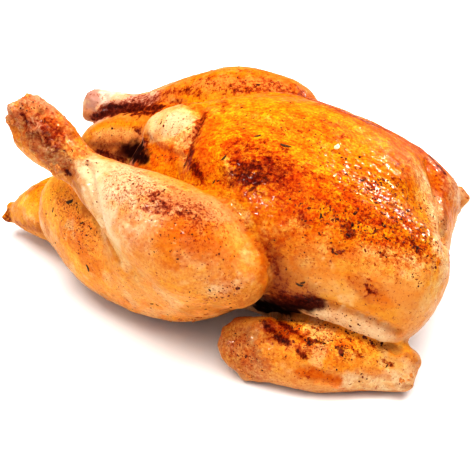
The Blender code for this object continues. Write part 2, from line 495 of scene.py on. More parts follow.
class Skin:
    """The skin's vertices with their relief, tone and other layers."""

    def __init__(self, obj, trees, lens):
        self.obj = obj
        self.lens = lens
        self.points = points_of(obj)
        self.normals = self.read_normals()
        self.tree = tree_of(obj)
        self.reach = {name: self.distance_to(tree) for name, tree in trees.items()}
        stack = np.stack([self.reach[m] for m in MEMBERS])
        self.member = stack.argmin(axis=0)
        self.relief = np.zeros(len(self.points))
        self.tone = np.zeros((len(self.points), 3))
        self.layers = {"burn": np.zeros(len(self.points))}

    def read_normals(self):
        flat = np.empty(len(self.points) * 3)
        self.obj.data.vertex_normals.foreach_get("vector", flat)
        return flat.reshape(-1, 3)

    def distance_to(self, tree):
        """Distance of every vertex to a member, whose tree is in the modelling frame."""
        moved = self.points - np.array(self.lens.shift)
        return np.array([tree.find_nearest(p)[3] for p in moved.tolist()])

    def of(self, *names):
        """Which vertices belong to the members named."""
        return np.isin(self.member, [MEMBERS.index(n) for n in names])

    def under_pixel(self, x, y):
        """Where the photograph's pixel falls on the skin: point, normal and vertex."""
        point, normal, face, _ = self.tree.ray_cast(self.lens.place, self.lens.ray(x, y))
        if point is None:
            return None
        return point, normal, self.obj.data.polygons[face].vertices[0]

    def trace(self, path):
        """Points of the skin under a run of pixels, and the members that they lie on."""
        stops = np.array(path, float)
        pixels = [stops[0]]
        for a, b in zip(stops, stops[1:]):
            count = max(1, int(np.linalg.norm(b - a) / TRACE_STEP))
            pixels += [a + (b - a) * (k + 1) / count for k in range(count)]
        hits = [h for h in (self.under_pixel(*p) for p in pixels) if h]
        line = np.array([h[0] for h in hits]).reshape(-1, 3)
        return line, np.unique(self.member[[h[2] for h in hits]])

    def touch(self, path, width, ragged=0.35, seed=1):
        """The vertices under a stroke and how much it covers them, with an uneven edge."""
        line, members = self.trace(path)
        if len(line) == 0:
            return np.zeros(0, int), np.zeros(0)
        reach = EDGE_REACH * width * MM
        near = np.all((self.points > line.min(0) - reach) & (self.points < line.max(0) + reach),
                      axis=1)
        which = np.nonzero(near & np.isin(self.member, members))[0]
        p = self.points[which]
        best = np.linalg.norm(p - line[0], axis=1)
        for a, b in zip(line, line[1:]):
            along = b - a
            length = np.linalg.norm(along)
            if length < 1e-9 or length > TRACE_JUMP:
                continue
            t = np.clip((p - a) @ along / length**2, 0, 1)
            best = np.minimum(best, np.linalg.norm(p - a - t[:, None] * along, axis=1))
        patch = max(EDGE_PATCH_LEAST, width * EDGE_PATCH)
        share = best / (width * MM) + ragged * cloud(p, patch, seed, 3)
        share += FRAY_SHARE * ragged * cloud(p, FRAY_SIZE, seed + FRAY_SEED, 1)
        return which, 1 - ease(share, *EDGE_FADE)

    def press(self, path, width, height, ragged=0.15, seed=3):
        """Raises the skin along a stroke by height millimetres, or sinks it."""
        which, cover = self.touch(path, width, ragged, seed)
        self.relief[which] += cover * height * MM

    def roughen(self, path, width, height, grain, seed):
        """Lumps of grain millimetres under a stroke."""
        which, cover = self.touch(path, width, 0.3, seed)
        lump = cloud(self.points[which], grain, seed, 2)
        self.relief[which] += cover * lump * height * MM

    def paint(self, tone, amount, width, path, ragged=0.75, seed=1):
        """Tone along a stroke; a dark tone also adds to the fine dark grain."""
        which, cover = self.touch(path, width, ragged, seed)
        burning = BURNING.get(tone, 0.0)
        share = (cover * amount * (1 - BURNT_THINNER * (burning > 0)))[:, None]
        self.tone[which] += (np.array(TONES[tone]) - self.tone[which]) * share
        self.layers["burn"][which] += cover * amount * burning

    def coat(self, where, tone, amount=1.0):
        """Tone over the vertices that where marks, from 0 to 1."""
        share = (np.asarray(where, float) * amount)[:, None]
        self.tone += (np.array(TONES[tone]) - self.tone) * share

    def layer(self, name, base):
        self.layers[name] = np.full(len(self.points), float(base))

    def add(self, name, amount, width, path, ragged=0.3, seed=5):
        which, cover = self.touch(path, width, ragged, seed)
        self.layers[name][which] += cover * amount

    def shape(self):
        """Moves the vertices by the relief and presses the underside flat on the floor."""
        moved = self.points + self.normals * self.relief[:, None]
        moved[:, 2] = np.maximum(moved[:, 2], 0.0)
        self.obj.data.vertices.foreach_set("co", moved.ravel())
        self.obj.data.update()
        self.points = moved
        self.normals = self.read_normals()
        self.tree = tree_of(self.obj)

    def store(self):
        """Writes the tone and the layers to the mesh, where the material reads them."""
        mesh = self.obj.data
        tone = mesh.attributes.new("tone", "FLOAT_COLOR", "POINT")
        colour = np.ones((len(self.points), 4))
        colour[:, :3] = np.clip(self.tone, 0, 1)
        tone.data.foreach_set("color", colour.ravel())
        for name, values in self.layers.items():
            layer = mesh.attributes.new(name, "FLOAT", "POINT")
            layer.data.foreach_set("value", np.clip(values, 0, 1))


# Folds and lumps: (path, half width, height), millimetres, raised where height is positive
FOLDS = [
    ([(88, 165), (95, 195), (102, 222), (110, 245), (118, 260)], 2, -1.5),
    ([(100, 182), (110, 212), (122, 245)], 6, 0.5),
    ([(166, 102), (184, 102), (197, 110), (202, 120), (196, 132), (190, 143), (184, 158)], 1.7, -1.3),
    ([(210, 112), (208, 130), (200, 150), (194, 168)], 5, 0.7),
    ([(146, 137), (156, 147), (170, 153), (184, 158)], 2.2, -1.2),
    ([(428, 165), (436, 190), (441, 220), (444, 250)], 3, -1),
    ([(252, 238), (262, 255), (266, 280)], 4, 0.5),
    ([(300, 367), (345, 377), (398, 380)], 2, -0.9),
    ([(302, 376), (340, 386), (380, 389)], 2.5, 0.5),
    ([(258, 336), (250, 352), (252, 366)], 3, -0.8),
    ([(372, 286), (362, 290)], 5, 0.6),
    ([(385, 250)], 2.5, 0.5),
    ([(224, 101), (224, 112)], 1.6, 0.4),
    ([(320, 283)], 2.4, 0.4),
    ([(432, 240), (436, 265), (432, 290)], 1.6, -0.5),
    ([(424, 245), (428, 268)], 1.4, -0.4),
    ([(118, 147), (100, 150), (92, 147)], 2, -0.9),
    ([(104, 108), (130, 110), (158, 108)], 2, -1),
    ([(320, 303), (345, 309), (372, 320), (398, 332)], 2.2, -1.8),
    ([(316, 313), (345, 322), (380, 337)], 4.5, 0.9),
    ([(262, 316), (300, 317), (322, 322), (345, 330), (372, 340), (398, 351)], 2, -2.6),
    ([(236, 324), (280, 324), (320, 329), (350, 338), (380, 349), (402, 358)], 3, 1.3),
    ([(232, 326), (248, 323), (266, 323)], 5, 1.6),
    ([(224, 338), (226, 350), (234, 360)], 6, 2),
    ([(70, 175), (66, 168)], 2, -1),
]
# Rough skin: (path, half width, height, grain), millimetres
ROUGH = [
    ([(20, 118), (45, 132), (66, 156)], 12, 2.4, 4.6),
    ([(20, 118), (45, 132), (66, 156)], 12, 0.9, 2.2),
    ([(14, 112), (32, 100)], 8, 1.4, 2.4),
    ([(400, 190), (412, 212), (418, 240)], 15, 0.3, 2.4),
    ([(340, 190), (370, 215), (390, 240)], 14, 0.2, 2.6),
    ([(240, 165), (262, 178)], 12, 0.32, 2.4),
    ([(366, 290)], 6, 0.55, 2),
    ([(140, 185), (175, 205), (200, 225)], 14, 0.22, 2.2),
    ([(70, 200), (78, 222), (90, 242)], 8, 0.35, 2.4),
    ([(228, 345), (248, 352)], 10, 0.5, 3),
    ([(262, 325), (300, 335), (350, 350)], 7, 0.3, 2.2),
    ([(405, 362), (415, 368)], 7, 0.6, 2.8),
    ([(88, 95), (98, 108)], 7, 0.45, 3.2),
    ([(258, 245), (265, 268), (264, 290)], 3, 0.55, 2),
    ([(165, 318), (190, 319), (215, 316)], 2.2, 0.6, 1.8),
]

# Browning, in the order in which it is painted: (tone, amount, half width in millimetres,
# path), with how ragged the edge is where it isn't as ragged as most. Among the browning are
# strokes of painted shade, in creases, gaps and under limbs, and of painted light and
# highlights, as the comments below say.
BROWNING = [
    # Breast
    ("golden", 0.75, 15, [(205, 98), (250, 97), (290, 103), (320, 122)]),
    ("lemon", 0.6, 5, [(208, 92), (222, 94)]),
    ("lemon", 0.45, 7, [(226, 110), (262, 118), (296, 124)]),
    ("rust", 0.5, 3, [(234, 88), (260, 89), (285, 92), (305, 97)]),
    ("orange", 0.65, 3.5, [(305, 95), (330, 104), (352, 113)]),
    ("rust", 0.75, 1.6, [(224, 100), (224, 112)]),
    ("amber", 0.7, 10, [(300, 120), (340, 140), (380, 165)]),
    ("golden", 0.55, 7, [(345, 120), (375, 140), (395, 160)]),
    ("lemon", 0.55, 2.5, [(283, 117), (290, 119)]),
    ("lemon", 0.55, 3, [(358, 128), (364, 133)]),
    ("lemon", 0.45, 4, [(348, 142), (356, 147)]),
    ("lemon", 0.45, 4, [(386, 142), (394, 150)]),
    ("rust", 0.6, 1.5, [(343, 136), (348, 137)]),
    ("rust", 0.8, 1.2, [(333, 151), (340, 152)], 0.4),
    ("rust", 0.6, 1.5, [(374, 147), (380, 150)]),
    ("brown", 0.6, 2, [(390, 155), (399, 165), (406, 176)]),
    ("orange", 0.7, 12, [(225, 150), (262, 165), (300, 180)]),
    ("rust", 0.5, 10, [(232, 150), (256, 158), (282, 176)]),
    ("rust", 0.4, 4, [(238, 144), (262, 150), (292, 162)]),
    ("brown", 0.45, 7, [(240, 158), (262, 164), (276, 176)]),
    ("burnt", 0.6, 4.5, [(238, 168), (248, 172), (256, 180)]),
    ("burnt", 0.3, 3, [(268, 160), (280, 178)]),
    ("rust", 0.5, 4, [(244, 190), (258, 196)]),
    ("rust", 0.55, 2.5, [(272, 128), (282, 134)]),
    ("golden", 0.6, 5, [(212, 135), (218, 158), (226, 172)]),
    ("lemon", 0.6, 1.6, [(226, 160), (229, 174)]),
    ("lemon", 0.7, 3.5, [(260, 196), (274, 199)]),
    ("rust", 0.25, 4, [(262, 188), (300, 190), (330, 200)]),
    ("orange", 0.55, 9, [(260, 205), (300, 212), (335, 225)]),
    ("amber", 0.6, 9, [(300, 232), (345, 234), (390, 242)]),
    ("golden", 0.45, 6, [(320, 236), (350, 242), (395, 248)]),
    ("rust", 0.25, 3, [(310, 200), (345, 208), (385, 225)]),
    ("rust", 0.35, 3, [(360, 215), (384, 222), (400, 238)]),
    ("golden", 0.6, 2.4, [(300, 205), (325, 212), (350, 222)]),
    ("golden", 0.6, 2, [(312, 182), (335, 190), (352, 198)]),
    ("lemon", 0.55, 2, [(360, 196), (374, 202)]),
    ("lemon", 0.5, 3, [(305, 165), (318, 168)]),
    ("lemon", 0.5, 2.5, [(322, 152), (332, 156)]),
    ("lemon", 0.6, 2.6, [(236, 190), (258, 194)]),
    ("burnt", 0.75, 2.4, [(346, 226), (352, 236)]),
    ("char", 0.75, 1.5, [(333, 251), (342, 254)]),
    ("rust", 0.8, 2.4, [(382, 252), (390, 250)]),
    ("burnt", 0.65, 1.8, [(414, 243), (419, 252)]),
    ("rust", 0.55, 3, [(395, 180), (412, 196)]),
    ("golden", 0.55, 8, [(415, 200), (425, 225), (428, 250)]),
    ("orange", 0.4, 7, [(290, 192), (330, 200), (370, 215), (405, 235)]),
    ("orange", 0.85, 5, [(310, 98), (352, 115), (390, 131), (420, 149), (440, 172)]),
    ("rust", 0.55, 5, [(300, 95), (330, 106), (352, 115), (372, 124)]),
    ("rust", 0.5, 5, [(365, 121), (392, 132), (418, 149), (436, 167)]),
    # Side of the breast, down to the wing, and the neck end
    ("peach", 0.9, 13, [(292, 262), (330, 266), (380, 272), (415, 290)]),
    ("peach", 0.85, 12, [(320, 300), (370, 310), (410, 318)]),
    ("amber", 0.35, 14, [(292, 262), (330, 276), (370, 290), (405, 305)]),
    # The cream and pale bands low on the breast are partly painted highlight.
    ("cream", 0.75, 6, [(312, 256), (345, 259), (370, 262)], 0.4),
    ("cream", 0.75, 8, [(366, 262), (400, 264), (415, 274)], 0.4),
    ("pale", 0.35, 4, [(376, 262), (400, 264)], 0.4),
    ("cream", 0.6, 7, [(320, 284), (346, 296)], 0.4),
    ("lemon", 0.45, 5, [(330, 300), (360, 308), (390, 316)], 0.4),
    ("cream", 0.4, 6, [(395, 288), (410, 302), (422, 310)], 0.4),
    ("lemon", 0.45, 4, [(335, 262), (352, 266)]),
    ("ochre", 0.45, 6, [(275, 255), (285, 275), (282, 292)]),
    # Painted shade in the crease between the breast and the near leg.
    ("brown", 0.85, 5, [(270, 250), (275, 270), (280, 292)], 0.3),
    ("brown", 0.35, 8, [(280, 262), (290, 280), (300, 292)], 0.4),
    ("golden", 0.55, 6, [(434, 240), (440, 262), (436, 285)]),
    ("cream", 0.85, 5, [(438, 226), (443, 245), (444, 262), (440, 285)]),
    # This stroke and the pale one two below it are painted highlight along the ridge at the neck end.
    ("pale", 0.6, 2.5, [(428, 205), (436, 230), (442, 250)]),
    ("cream", 0.85, 6, [(412, 165), (420, 182), (428, 205)], 0.5),
    ("pale", 0.55, 3, [(436, 200), (440, 216), (444, 232)]),
    ("amber", 0.55, 4, [(405, 142), (415, 152), (424, 160)]),
    ("flesh", 0.55, 3, [(437, 195), (440, 210)]),
    ("rust", 0.7, 4.5, [(358, 285), (370, 293)]),
    ("burnt", 0.65, 2, [(369, 290), (375, 294)]),
    ("orange", 0.4, 4, [(372, 300), (382, 302)]),
    ("rust", 0.5, 2, [(434, 176), (437, 190)]),
    ("brown", 0.75, 2.2, [(443, 204), (446, 218), (443, 232)]),
    ("orange", 0.55, 4, [(436, 180), (442, 200)]),
    ("char", 0.7, 1, [(389, 126), (398, 130)]),
    ("char", 0.75, 1, [(430, 156), (438, 165), (446, 175)]),
    # Tip of the keel and the crease behind it
    ("cream", 1, 13, [(160, 118), (178, 117), (186, 126), (166, 136), (176, 142)], 0.25),
    ("pale", 0.75, 10, [(162, 122), (180, 124), (176, 138)], 0.35),
    ("lemon", 0.35, 7, [(162, 134), (180, 140)], 0.5),
    ("rust", 0.6, 1.8, [(153, 112), (166, 105), (182, 101)]),
    ("orange", 0.75, 5.5, [(212, 122), (204, 140), (200, 158), (208, 176)]),
    ("rust", 0.85, 3.6, [(204, 116), (197, 132), (190, 148), (188, 162), (198, 174)]),
    ("orange", 0.6, 3, [(186, 104), (200, 108), (208, 116)]),
    ("burnt", 0.55, 1.8, [(186, 158), (192, 168), (206, 180)]),
    ("amber", 0.95, 7, [(150, 152), (168, 158), (184, 166)]),
    ("orange", 0.7, 4, [(156, 152), (172, 158), (182, 164)]),
    ("golden", 0.7, 2, [(146, 142), (158, 152), (168, 166)]),
    ("burnt", 0.7, 1.2, [(169, 157), (174, 160)]),
    ("char", 0.8, 1.3, [(144, 140), (148, 142)]),
    # Opening of the body, between the keel and the legs. The brown and near black strokes are
    # painted shade along the rim under the far thigh, on the inner leg and into the cavity.
    ("ochre", 0.9, 9, [(86, 138), (112, 130), (140, 130)]),
    ("amber", 0.7, 4, [(98, 126), (118, 123), (136, 126)]),
    ("tan", 0.6, 5, [(96, 140), (120, 138), (138, 136)]),
    ("cream", 0.5, 2.6, [(98, 133), (112, 130), (130, 133)], 0.5),
    ("cream", 0.45, 2.2, [(100, 152), (112, 153), (120, 155)], 0.4),
    ("brown", 0.8, 2.2, [(84, 143), (104, 144), (124, 144), (150, 142)]),
    ("brown", 0.7, 3.5, [(100, 150), (118, 152)]),
    ("hollow", 1, 4.5, [(126, 149), (144, 148)], 0.35),
    ("hollow", 1, 4, [(122, 152), (134, 156), (146, 156)], 0.35),
    ("hollow", 0.9, 2.4, [(141, 161), (147, 161)], 0.35),
    ("char", 0.6, 1.8, [(136, 128), (140, 132)]),
    ("char", 0.65, 1.2, [(96, 152), (106, 153)]),
    # Far leg with its knob. The burnt and brown strokes along the underside of the shank and
    # under the knob are painted shade; the pearl stroke along the shank's top is painted highlight.
    ("burnt", 0.9, 3.6, [(97, 117), (115, 111), (137, 112), (158, 112)]),
    ("rust", 0.6, 2.6, [(132, 103), (150, 102), (164, 99)]),
    ("pink", 0.98, 12, [(92, 90), (88, 102), (96, 112), (106, 96)], 0.25),
    ("tan", 0.6, 4.5, [(88, 92), (94, 104), (90, 112)], 0.4),
    ("rust", 0.35, 2.2, [(84, 98), (94, 92), (103, 98)], 0.5),
    ("burnt", 0.55, 2.2, [(90, 118), (98, 118), (106, 113)], 0.4),
    ("tan", 0.6, 3, [(84, 112), (94, 117), (104, 114)]),
    ("brown", 0.6, 2.2, [(86, 116), (97, 119), (106, 116)]),
    ("rust", 0.6, 2, [(86, 96), (95, 94), (100, 98)]),
    ("pink", 0.9, 6, [(108, 96), (125, 97), (150, 98)], 0.3),
    ("pearl", 0.9, 4, [(106, 91), (125, 93), (148, 92)], 0.4),
    ("rust", 0.65, 2, [(128, 99), (142, 97), (158, 96)]),
    ("burnt", 0.6, 2.2, [(104, 108), (130, 108), (156, 107)]),
    ("flesh", 0.7, 4, [(150, 88), (170, 84)]),
    ("rust", 0.6, 2.4, [(160, 93), (180, 91), (200, 92)]),
    ("orange", 0.6, 4, [(200, 82), (240, 80), (290, 84)]),
    ("rust", 0.6, 2.6, [(170, 74), (200, 67), (250, 64), (290, 74), (312, 84)]),
    ("rust", 0.45, 5, [(190, 86), (240, 85), (300, 90)]),
    ("peach", 0.55, 5, [(170, 78), (210, 70), (250, 68)]),
    ("lemon", 0.45, 3, [(188, 74), (202, 72)]),
    ("rust", 0.5, 2.2, [(208, 78), (214, 82)]),
    ("rust", 0.5, 2.2, [(240, 70), (252, 73)]),
    ("rust", 0.5, 2.4, [(262, 80), (280, 84)]),
    # Near leg
    ("peach", 0.9, 30, [(130, 285), (170, 285), (210, 280)]),
    ("pale", 0.95, 8, [(84, 164), (92, 190), (102, 214), (112, 240)], 0.3),
    ("pearl", 0.75, 6, [(88, 172), (97, 195), (106, 218)], 0.4),
    ("cream", 0.7, 6, [(112, 240), (124, 262), (138, 276)], 0.4),
    ("pale", 0.75, 13, [(105, 172), (128, 200), (134, 225)], 0.4),
    ("pearl", 0.35, 9, [(112, 180), (130, 205), (134, 228)], 0.4),
    ("flesh", 0.6, 16, [(130, 178), (170, 195), (205, 215)], 0.4),
    ("brown", 0.4, 10, [(140, 190), (170, 202), (200, 214)]),
    ("rust", 0.45, 6, [(150, 205), (175, 212), (195, 222)]),
    ("golden", 0.65, 4.5, [(150, 168), (185, 178), (215, 190), (240, 206)]),
    ("amber", 0.6, 8, [(165, 235), (190, 248), (215, 245)]),
    ("orange", 0.8, 5, [(182, 232), (196, 240), (210, 242)]),
    ("amber", 0.5, 4, [(178, 222), (200, 226), (215, 232)]),
    ("rust", 0.75, 1.5, [(131, 215), (133, 223)], 0.4),
    ("rust", 0.6, 1.2, [(157, 188), (160, 192)], 0.4),
    ("rust", 0.6, 1.3, [(164, 203), (170, 206)], 0.4),
    ("brown", 0.7, 1.2, [(150, 224), (153, 228)], 0.4),
    ("rust", 0.6, 1.2, [(176, 202), (180, 206)], 0.4),
    ("rust", 0.55, 1.2, [(168, 186), (174, 189)], 0.4),
    ("rust", 0.55, 1.4, [(194, 206), (202, 209)], 0.4),
    ("rust", 0.5, 1.2, [(143, 205), (146, 210)], 0.4),
    ("rust", 0.5, 1.2, [(160, 222), (167, 226)], 0.4),
    ("orange", 0.6, 1.4, [(172, 230), (184, 236)], 0.4),
    ("burnt", 0.75, 1.4, [(179, 214)]),
    ("burnt", 0.65, 1, [(187, 214)]),
    ("rust", 0.55, 1.6, [(152, 194), (156, 198)]),
    ("rust", 0.45, 3, [(150, 206), (165, 212)]),
    ("amber", 0.45, 6, [(140, 246), (160, 252), (172, 260)]),
    ("golden", 0.5, 6, [(100, 262), (118, 270), (132, 274)]),
    ("orange", 0.55, 1.3, [(173, 268), (184, 265)]),
    # Painted light: a bright tone and cream at the foot of the near leg, which lies in shade.
    ("apricot", 0.6, 14, [(100, 280), (130, 300), (165, 308), (205, 305)], 0.5),
    ("cream", 0.4, 8, [(120, 290), (160, 300), (200, 300)]),
    ("flesh", 0.55, 9, [(190, 252), (215, 262), (222, 272)]),
    ("golden", 0.5, 5, [(162, 285), (185, 292), (205, 300)]),
    ("pale", 0.65, 3, [(214, 290), (234, 284), (250, 277)]),
    ("amber", 0.8, 3.6, [(254, 236), (264, 254), (267, 286)]),
    ("orange", 0.8, 1.7, [(262, 252), (263, 266), (261, 280)]),
    # The lemon and cream strokes here are partly painted highlight on the end of the drumstick.
    ("lemon", 0.7, 4.5, [(228, 206), (242, 216), (252, 230)]),
    ("cream", 0.45, 3, [(234, 206), (242, 213), (248, 222)], 0.4),
    ("rust", 0.5, 1.2, [(232, 276), (236, 279)]),
    ("rust", 0.5, 1.2, [(126, 299), (129, 302)]),
    ("orange", 0.35, 4, [(225, 282), (230, 290)]),
    ("ochre", 0.6, 4, [(185, 312), (220, 305), (245, 294)]),
    # End of the near thigh
    # The bright honey and apricot here are painted light on skin that lies in shade under the
    # drumstick.
    ("honey", 0.75, 16, [(48, 190), (62, 220), (80, 260)], 0.5),
    ("apricot", 0.7, 8, [(60, 200), (76, 220), (90, 244)]),
    ("orange", 0.25, 5, [(64, 206), (78, 222), (88, 238)]),
    ("rust", 0.25, 5, [(66, 205), (78, 222), (88, 242)]),
    ("ochre", 0.55, 5, [(55, 182), (75, 182)]),
    ("ochre", 0.5, 2.5, [(84, 178), (92, 200), (98, 225)]),
    ("peach", 0.6, 3, [(40, 196), (42, 216), (52, 240)]),
    ("burnt", 0.6, 1.4, [(79, 223), (84, 225)]),
    # Near ankle
    ("tan", 0.9, 14, [(18, 112), (34, 104), (40, 130), (60, 150)], 0.4),
    ("pink", 0.55, 7, [(12, 110), (30, 96), (44, 108)], 0.5),
    ("golden", 0.5, 2.4, [(30, 108), (44, 116), (56, 126)]),
    ("ochre", 0.55, 4, [(8, 124), (20, 135)]),
    ("grey", 0.85, 5, [(30, 128), (40, 148), (58, 164)]),
    ("brown", 0.6, 2.6, [(24, 116), (30, 130), (40, 144)]),
    ("rust", 0.8, 4.5, [(46, 120), (52, 132), (60, 140)]),
    ("burnt", 0.6, 1.8, [(50, 142), (54, 150)]),
    ("grey", 0.6, 4, [(55, 158), (66, 164)]),
    ("peach", 0.7, 3.5, [(68, 146), (80, 156)]),
    ("char", 0.7, 1.6, [(68, 173)]),
    ("brown", 0.5, 2, [(26, 108), (34, 116), (46, 114)]),
    # Tail
    ("golden", 0.8, 8, [(24, 200), (34, 210)]),
    # The bright apricot and honey over the tail are painted light.
    ("apricot", 0.7, 6, [(22, 202), (32, 212)]),
    ("lemon", 0.5, 4, [(24, 204), (30, 212)]),
    ("honey", 0.6, 4, [(22, 202), (32, 212)], 0.5),
    ("rust", 0.6, 3, [(30, 190), (40, 186)]),
    ("burnt", 0.85, 2.4, [(6, 208), (9, 214), (6, 220)]),
    ("rust", 0.6, 2, [(14, 222), (30, 228), (44, 230)]),
    # Near wing
    ("tan", 0.85, 11, [(228, 335), (234, 352), (250, 364)], 0.5),
    ("ochre", 0.4, 4, [(226, 356), (240, 364)]),
    ("golden", 0.35, 3, [(226, 332), (236, 326), (250, 322)]),
    ("grey", 0.8, 4, [(248, 336), (254, 350), (262, 362)]),
    ("brown", 0.45, 1.6, [(240, 346), (250, 352), (256, 360)]),
    ("brown", 0.45, 1.4, [(238, 336), (246, 342)]),
    ("rust", 0.55, 1.8, [(245, 340), (249, 347)]),
    ("orange", 0.75, 5, [(268, 325), (300, 328), (326, 336)]),
    ("rust", 0.55, 3, [(270, 326), (290, 330), (306, 336)]),
    ("golden", 0.95, 4, [(312, 323), (346, 333), (370, 341), (396, 352)]),
    ("lemon", 0.6, 2.2, [(330, 327), (356, 334), (384, 345)]),
    ("peach", 0.8, 5, [(272, 358), (310, 363), (352, 370)]),
    # The apricot strokes of the wing, here and below, are painted light on its shaded upper side.
    ("apricot", 0.7, 5, [(290, 350), (330, 358), (380, 368)], 0.5),
    ("cream", 0.6, 3.4, [(312, 352), (340, 358)]),
    ("cream", 0.55, 3, [(352, 362), (376, 370)]),
    ("lemon", 0.6, 2, [(352, 344), (378, 354)]),
    ("golden", 0.45, 4, [(266, 350), (290, 358), (320, 364)]),
    ("burnt", 0.85, 1.5, [(263, 322), (272, 331), (286, 341)], 0.4),
    ("burnt", 0.8, 1.4, [(279, 321), (290, 329), (300, 336)], 0.4),
    ("burnt", 0.6, 1.1, [(292, 320), (304, 329)], 0.4),
    ("char", 0.8, 1.1, [(275, 337), (288, 344)], 0.4),
    ("burnt", 0.85, 1.2, [(297, 350), (306, 358)], 0.4),
    ("burnt", 0.9, 1.2, [(383, 361), (391, 365)], 0.4),
    ("rust", 0.8, 1.2, [(355, 352), (363, 357)], 0.4),
    ("char", 0.75, 1.1, [(308, 344), (313, 341), (321, 342)], 0.4),
    ("char", 0.75, 1, [(337, 347), (344, 351)], 0.4),
    ("char", 0.65, 0.9, [(312, 326), (318, 330)], 0.4),
    ("char", 0.65, 0.9, [(346, 337), (353, 340)], 0.4),
    ("char", 0.65, 0.9, [(368, 343), (376, 347)], 0.4),
    ("orange", 0.6, 1.8, [(331, 363), (342, 368)]),
    ("rust", 0.5, 1.6, [(323, 326), (327, 333)]),
    # The honey band along the forearm's top is painted light where the breast shades it.
    ("honey", 0.9, 5.5, [(300, 325), (325, 329), (350, 337), (375, 345), (400, 354)], 0.4),
    ("orange", 0.6, 1.4, [(318, 328), (326, 336)], 0.3),
    ("orange", 0.55, 1.4, [(338, 338), (346, 346)], 0.3),
    ("orange", 0.55, 1.4, [(358, 345), (364, 352)], 0.3),
    ("orange", 0.95, 3.6, [(302, 373), (325, 379), (343, 384)], 0.4),
    ("apricot", 0.5, 2, [(318, 382), (338, 387)], 0.4),
    ("rust", 0.4, 2.4, [(308, 376), (330, 381)]),
    ("pale", 0.95, 4, [(350, 385), (375, 387), (402, 386)], 0.3),
    ("pale", 0.8, 4, [(352, 376), (380, 377), (408, 376)], 0.4),
    ("cream", 0.7, 3, [(384, 358), (400, 364), (408, 372)]),
    ("tan", 0.6, 4, [(404, 360), (416, 366)]),
    ("brown", 0.55, 1.6, [(408, 356), (420, 362)]),
    ("grey", 0.65, 2, [(398, 386), (408, 388)]),
    # Gap between the breast and the near wing: the upper arm's pale skin, then painted shade,
    # brown to near black, along the breast's lower edge, in the crease and in the gap.
    ("flesh", 0.95, 7, [(312, 314), (345, 322), (382, 336)], 0.4),
    ("pale", 0.75, 5, [(316, 312), (345, 320), (374, 333)], 0.4),
    ("brown", 0.5, 1.6, [(322, 304), (345, 310), (372, 321), (400, 333)], 0.4),
    ("brown", 0.55, 5, [(270, 246), (276, 270), (284, 294)]),
    ("brown", 0.9, 4, [(270, 290), (290, 297), (314, 300)], 0.2),
    ("hollow", 0.55, 3, [(262, 298), (290, 302), (314, 303)], 0.2),
    ("hollow", 1, 5, [(258, 303), (276, 306), (294, 306), (314, 303)], 0.3),
    ("hollow", 1, 4, [(257, 308), (266, 311), (280, 312), (296, 311)], 0.2),
    # Far wing and the neck end
    ("flesh", 0.9, 7, [(453, 188), (462, 196), (466, 208)], 0.4),
    ("brown", 0.55, 1.6, [(454, 210), (462, 213)]),
    ("rust", 0.45, 1.6, [(452, 186), (460, 188), (468, 196)]),
    ("cream", 0.95, 4.5, [(412, 158), (422, 172), (430, 192)], 0.4),
    ("pearl", 0.6, 2, [(420, 168), (428, 184)], 0.4),
    # Painted highlight along the ridge at the neck end.
    ("pale", 0.75, 2.6, [(430, 196), (436, 222), (438, 250)], 0.5),
    ("lemon", 0.6, 3, [(420, 210), (427, 235), (430, 262)]),
    ("cream", 0.6, 4, [(428, 262), (434, 280), (428, 300)]),
    ("brown", 0.5, 1.4, [(442, 186), (445, 205), (446, 226)], 0.4),
    ("rust", 0.55, 2.6, [(440, 168), (446, 182), (450, 198)]),
    # Finer strokes over all of these
    ("rust", 0.45, 4, [(44, 122), (52, 132), (58, 142)]),
    ("brown", 0.45, 4, [(14, 118), (28, 134), (42, 152)]),
    ("char", 0.45, 1.6, [(38, 134), (48, 148)]),
    ("rust", 0.4, 5, [(30, 100), (40, 108)]),
    ("pale", 0.85, 10, [(162, 122), (176, 126), (170, 136)], 0.3),
    ("orange", 0.7, 3.4, [(208, 116), (203, 134), (198, 150), (204, 172)], 0.5),
    ("rust", 0.85, 2.8, [(204, 117), (198, 133), (192, 148), (190, 162), (199, 175)], 0.5),
    ("golden", 0.75, 2.6, [(222, 128), (216, 146), (218, 164), (228, 182)], 0.5),
    ("cream", 0.45, 1.4, [(226, 160), (229, 170), (231, 178)], 0.4),
    ("golden", 0.6, 3, [(246, 106), (262, 112), (280, 116)], 0.5),
    ("golden", 0.55, 2.4, [(238, 134), (248, 140), (256, 142)], 0.5),
    ("lemon", 0.55, 2.6, [(300, 136), (314, 142), (326, 146)], 0.5),
    ("rust", 0.5, 1.8, [(286, 128), (300, 132), (312, 128)]),
    ("rust", 0.5, 1.8, [(262, 140), (276, 142), (288, 150)]),
    ("rust", 0.45, 1.6, [(230, 118), (238, 124), (248, 122)]),
    ("rust", 0.45, 1.6, [(322, 116), (332, 124), (346, 128)]),
    ("rust", 0.45, 1.8, [(306, 172), (318, 178), (328, 176)]),
    ("brown", 0.5, 2.2, [(396, 158), (402, 168), (408, 176)]),
    ("cream", 0.6, 2.6, [(176, 146), (182, 154), (186, 164)], 0.4),
    ("orange", 0.55, 2.6, [(148, 146), (158, 152), (172, 160)]),
    # Painted shade in the crease right of the drumstick.
    ("brown", 0.4, 9, [(290, 246), (292, 266), (298, 284)], 0.6),
    ("amber", 0.45, 9, [(300, 248), (322, 256), (345, 262)]),
    ("amber", 0.35, 8, [(318, 268), (326, 280)]),
    ("orange", 0.6, 6, [(186, 240), (200, 248), (212, 252)], 0.6),
    ("amber", 0.5, 10, [(216, 244), (234, 258), (244, 276)]),
    ("amber", 0.45, 8, [(126, 224), (146, 230), (162, 234)]),
    ("orange", 0.5, 6, [(66, 232), (80, 250), (96, 268)], 0.6),
    # Painted shade in the crease between the ankle and the thigh, and under the tail.
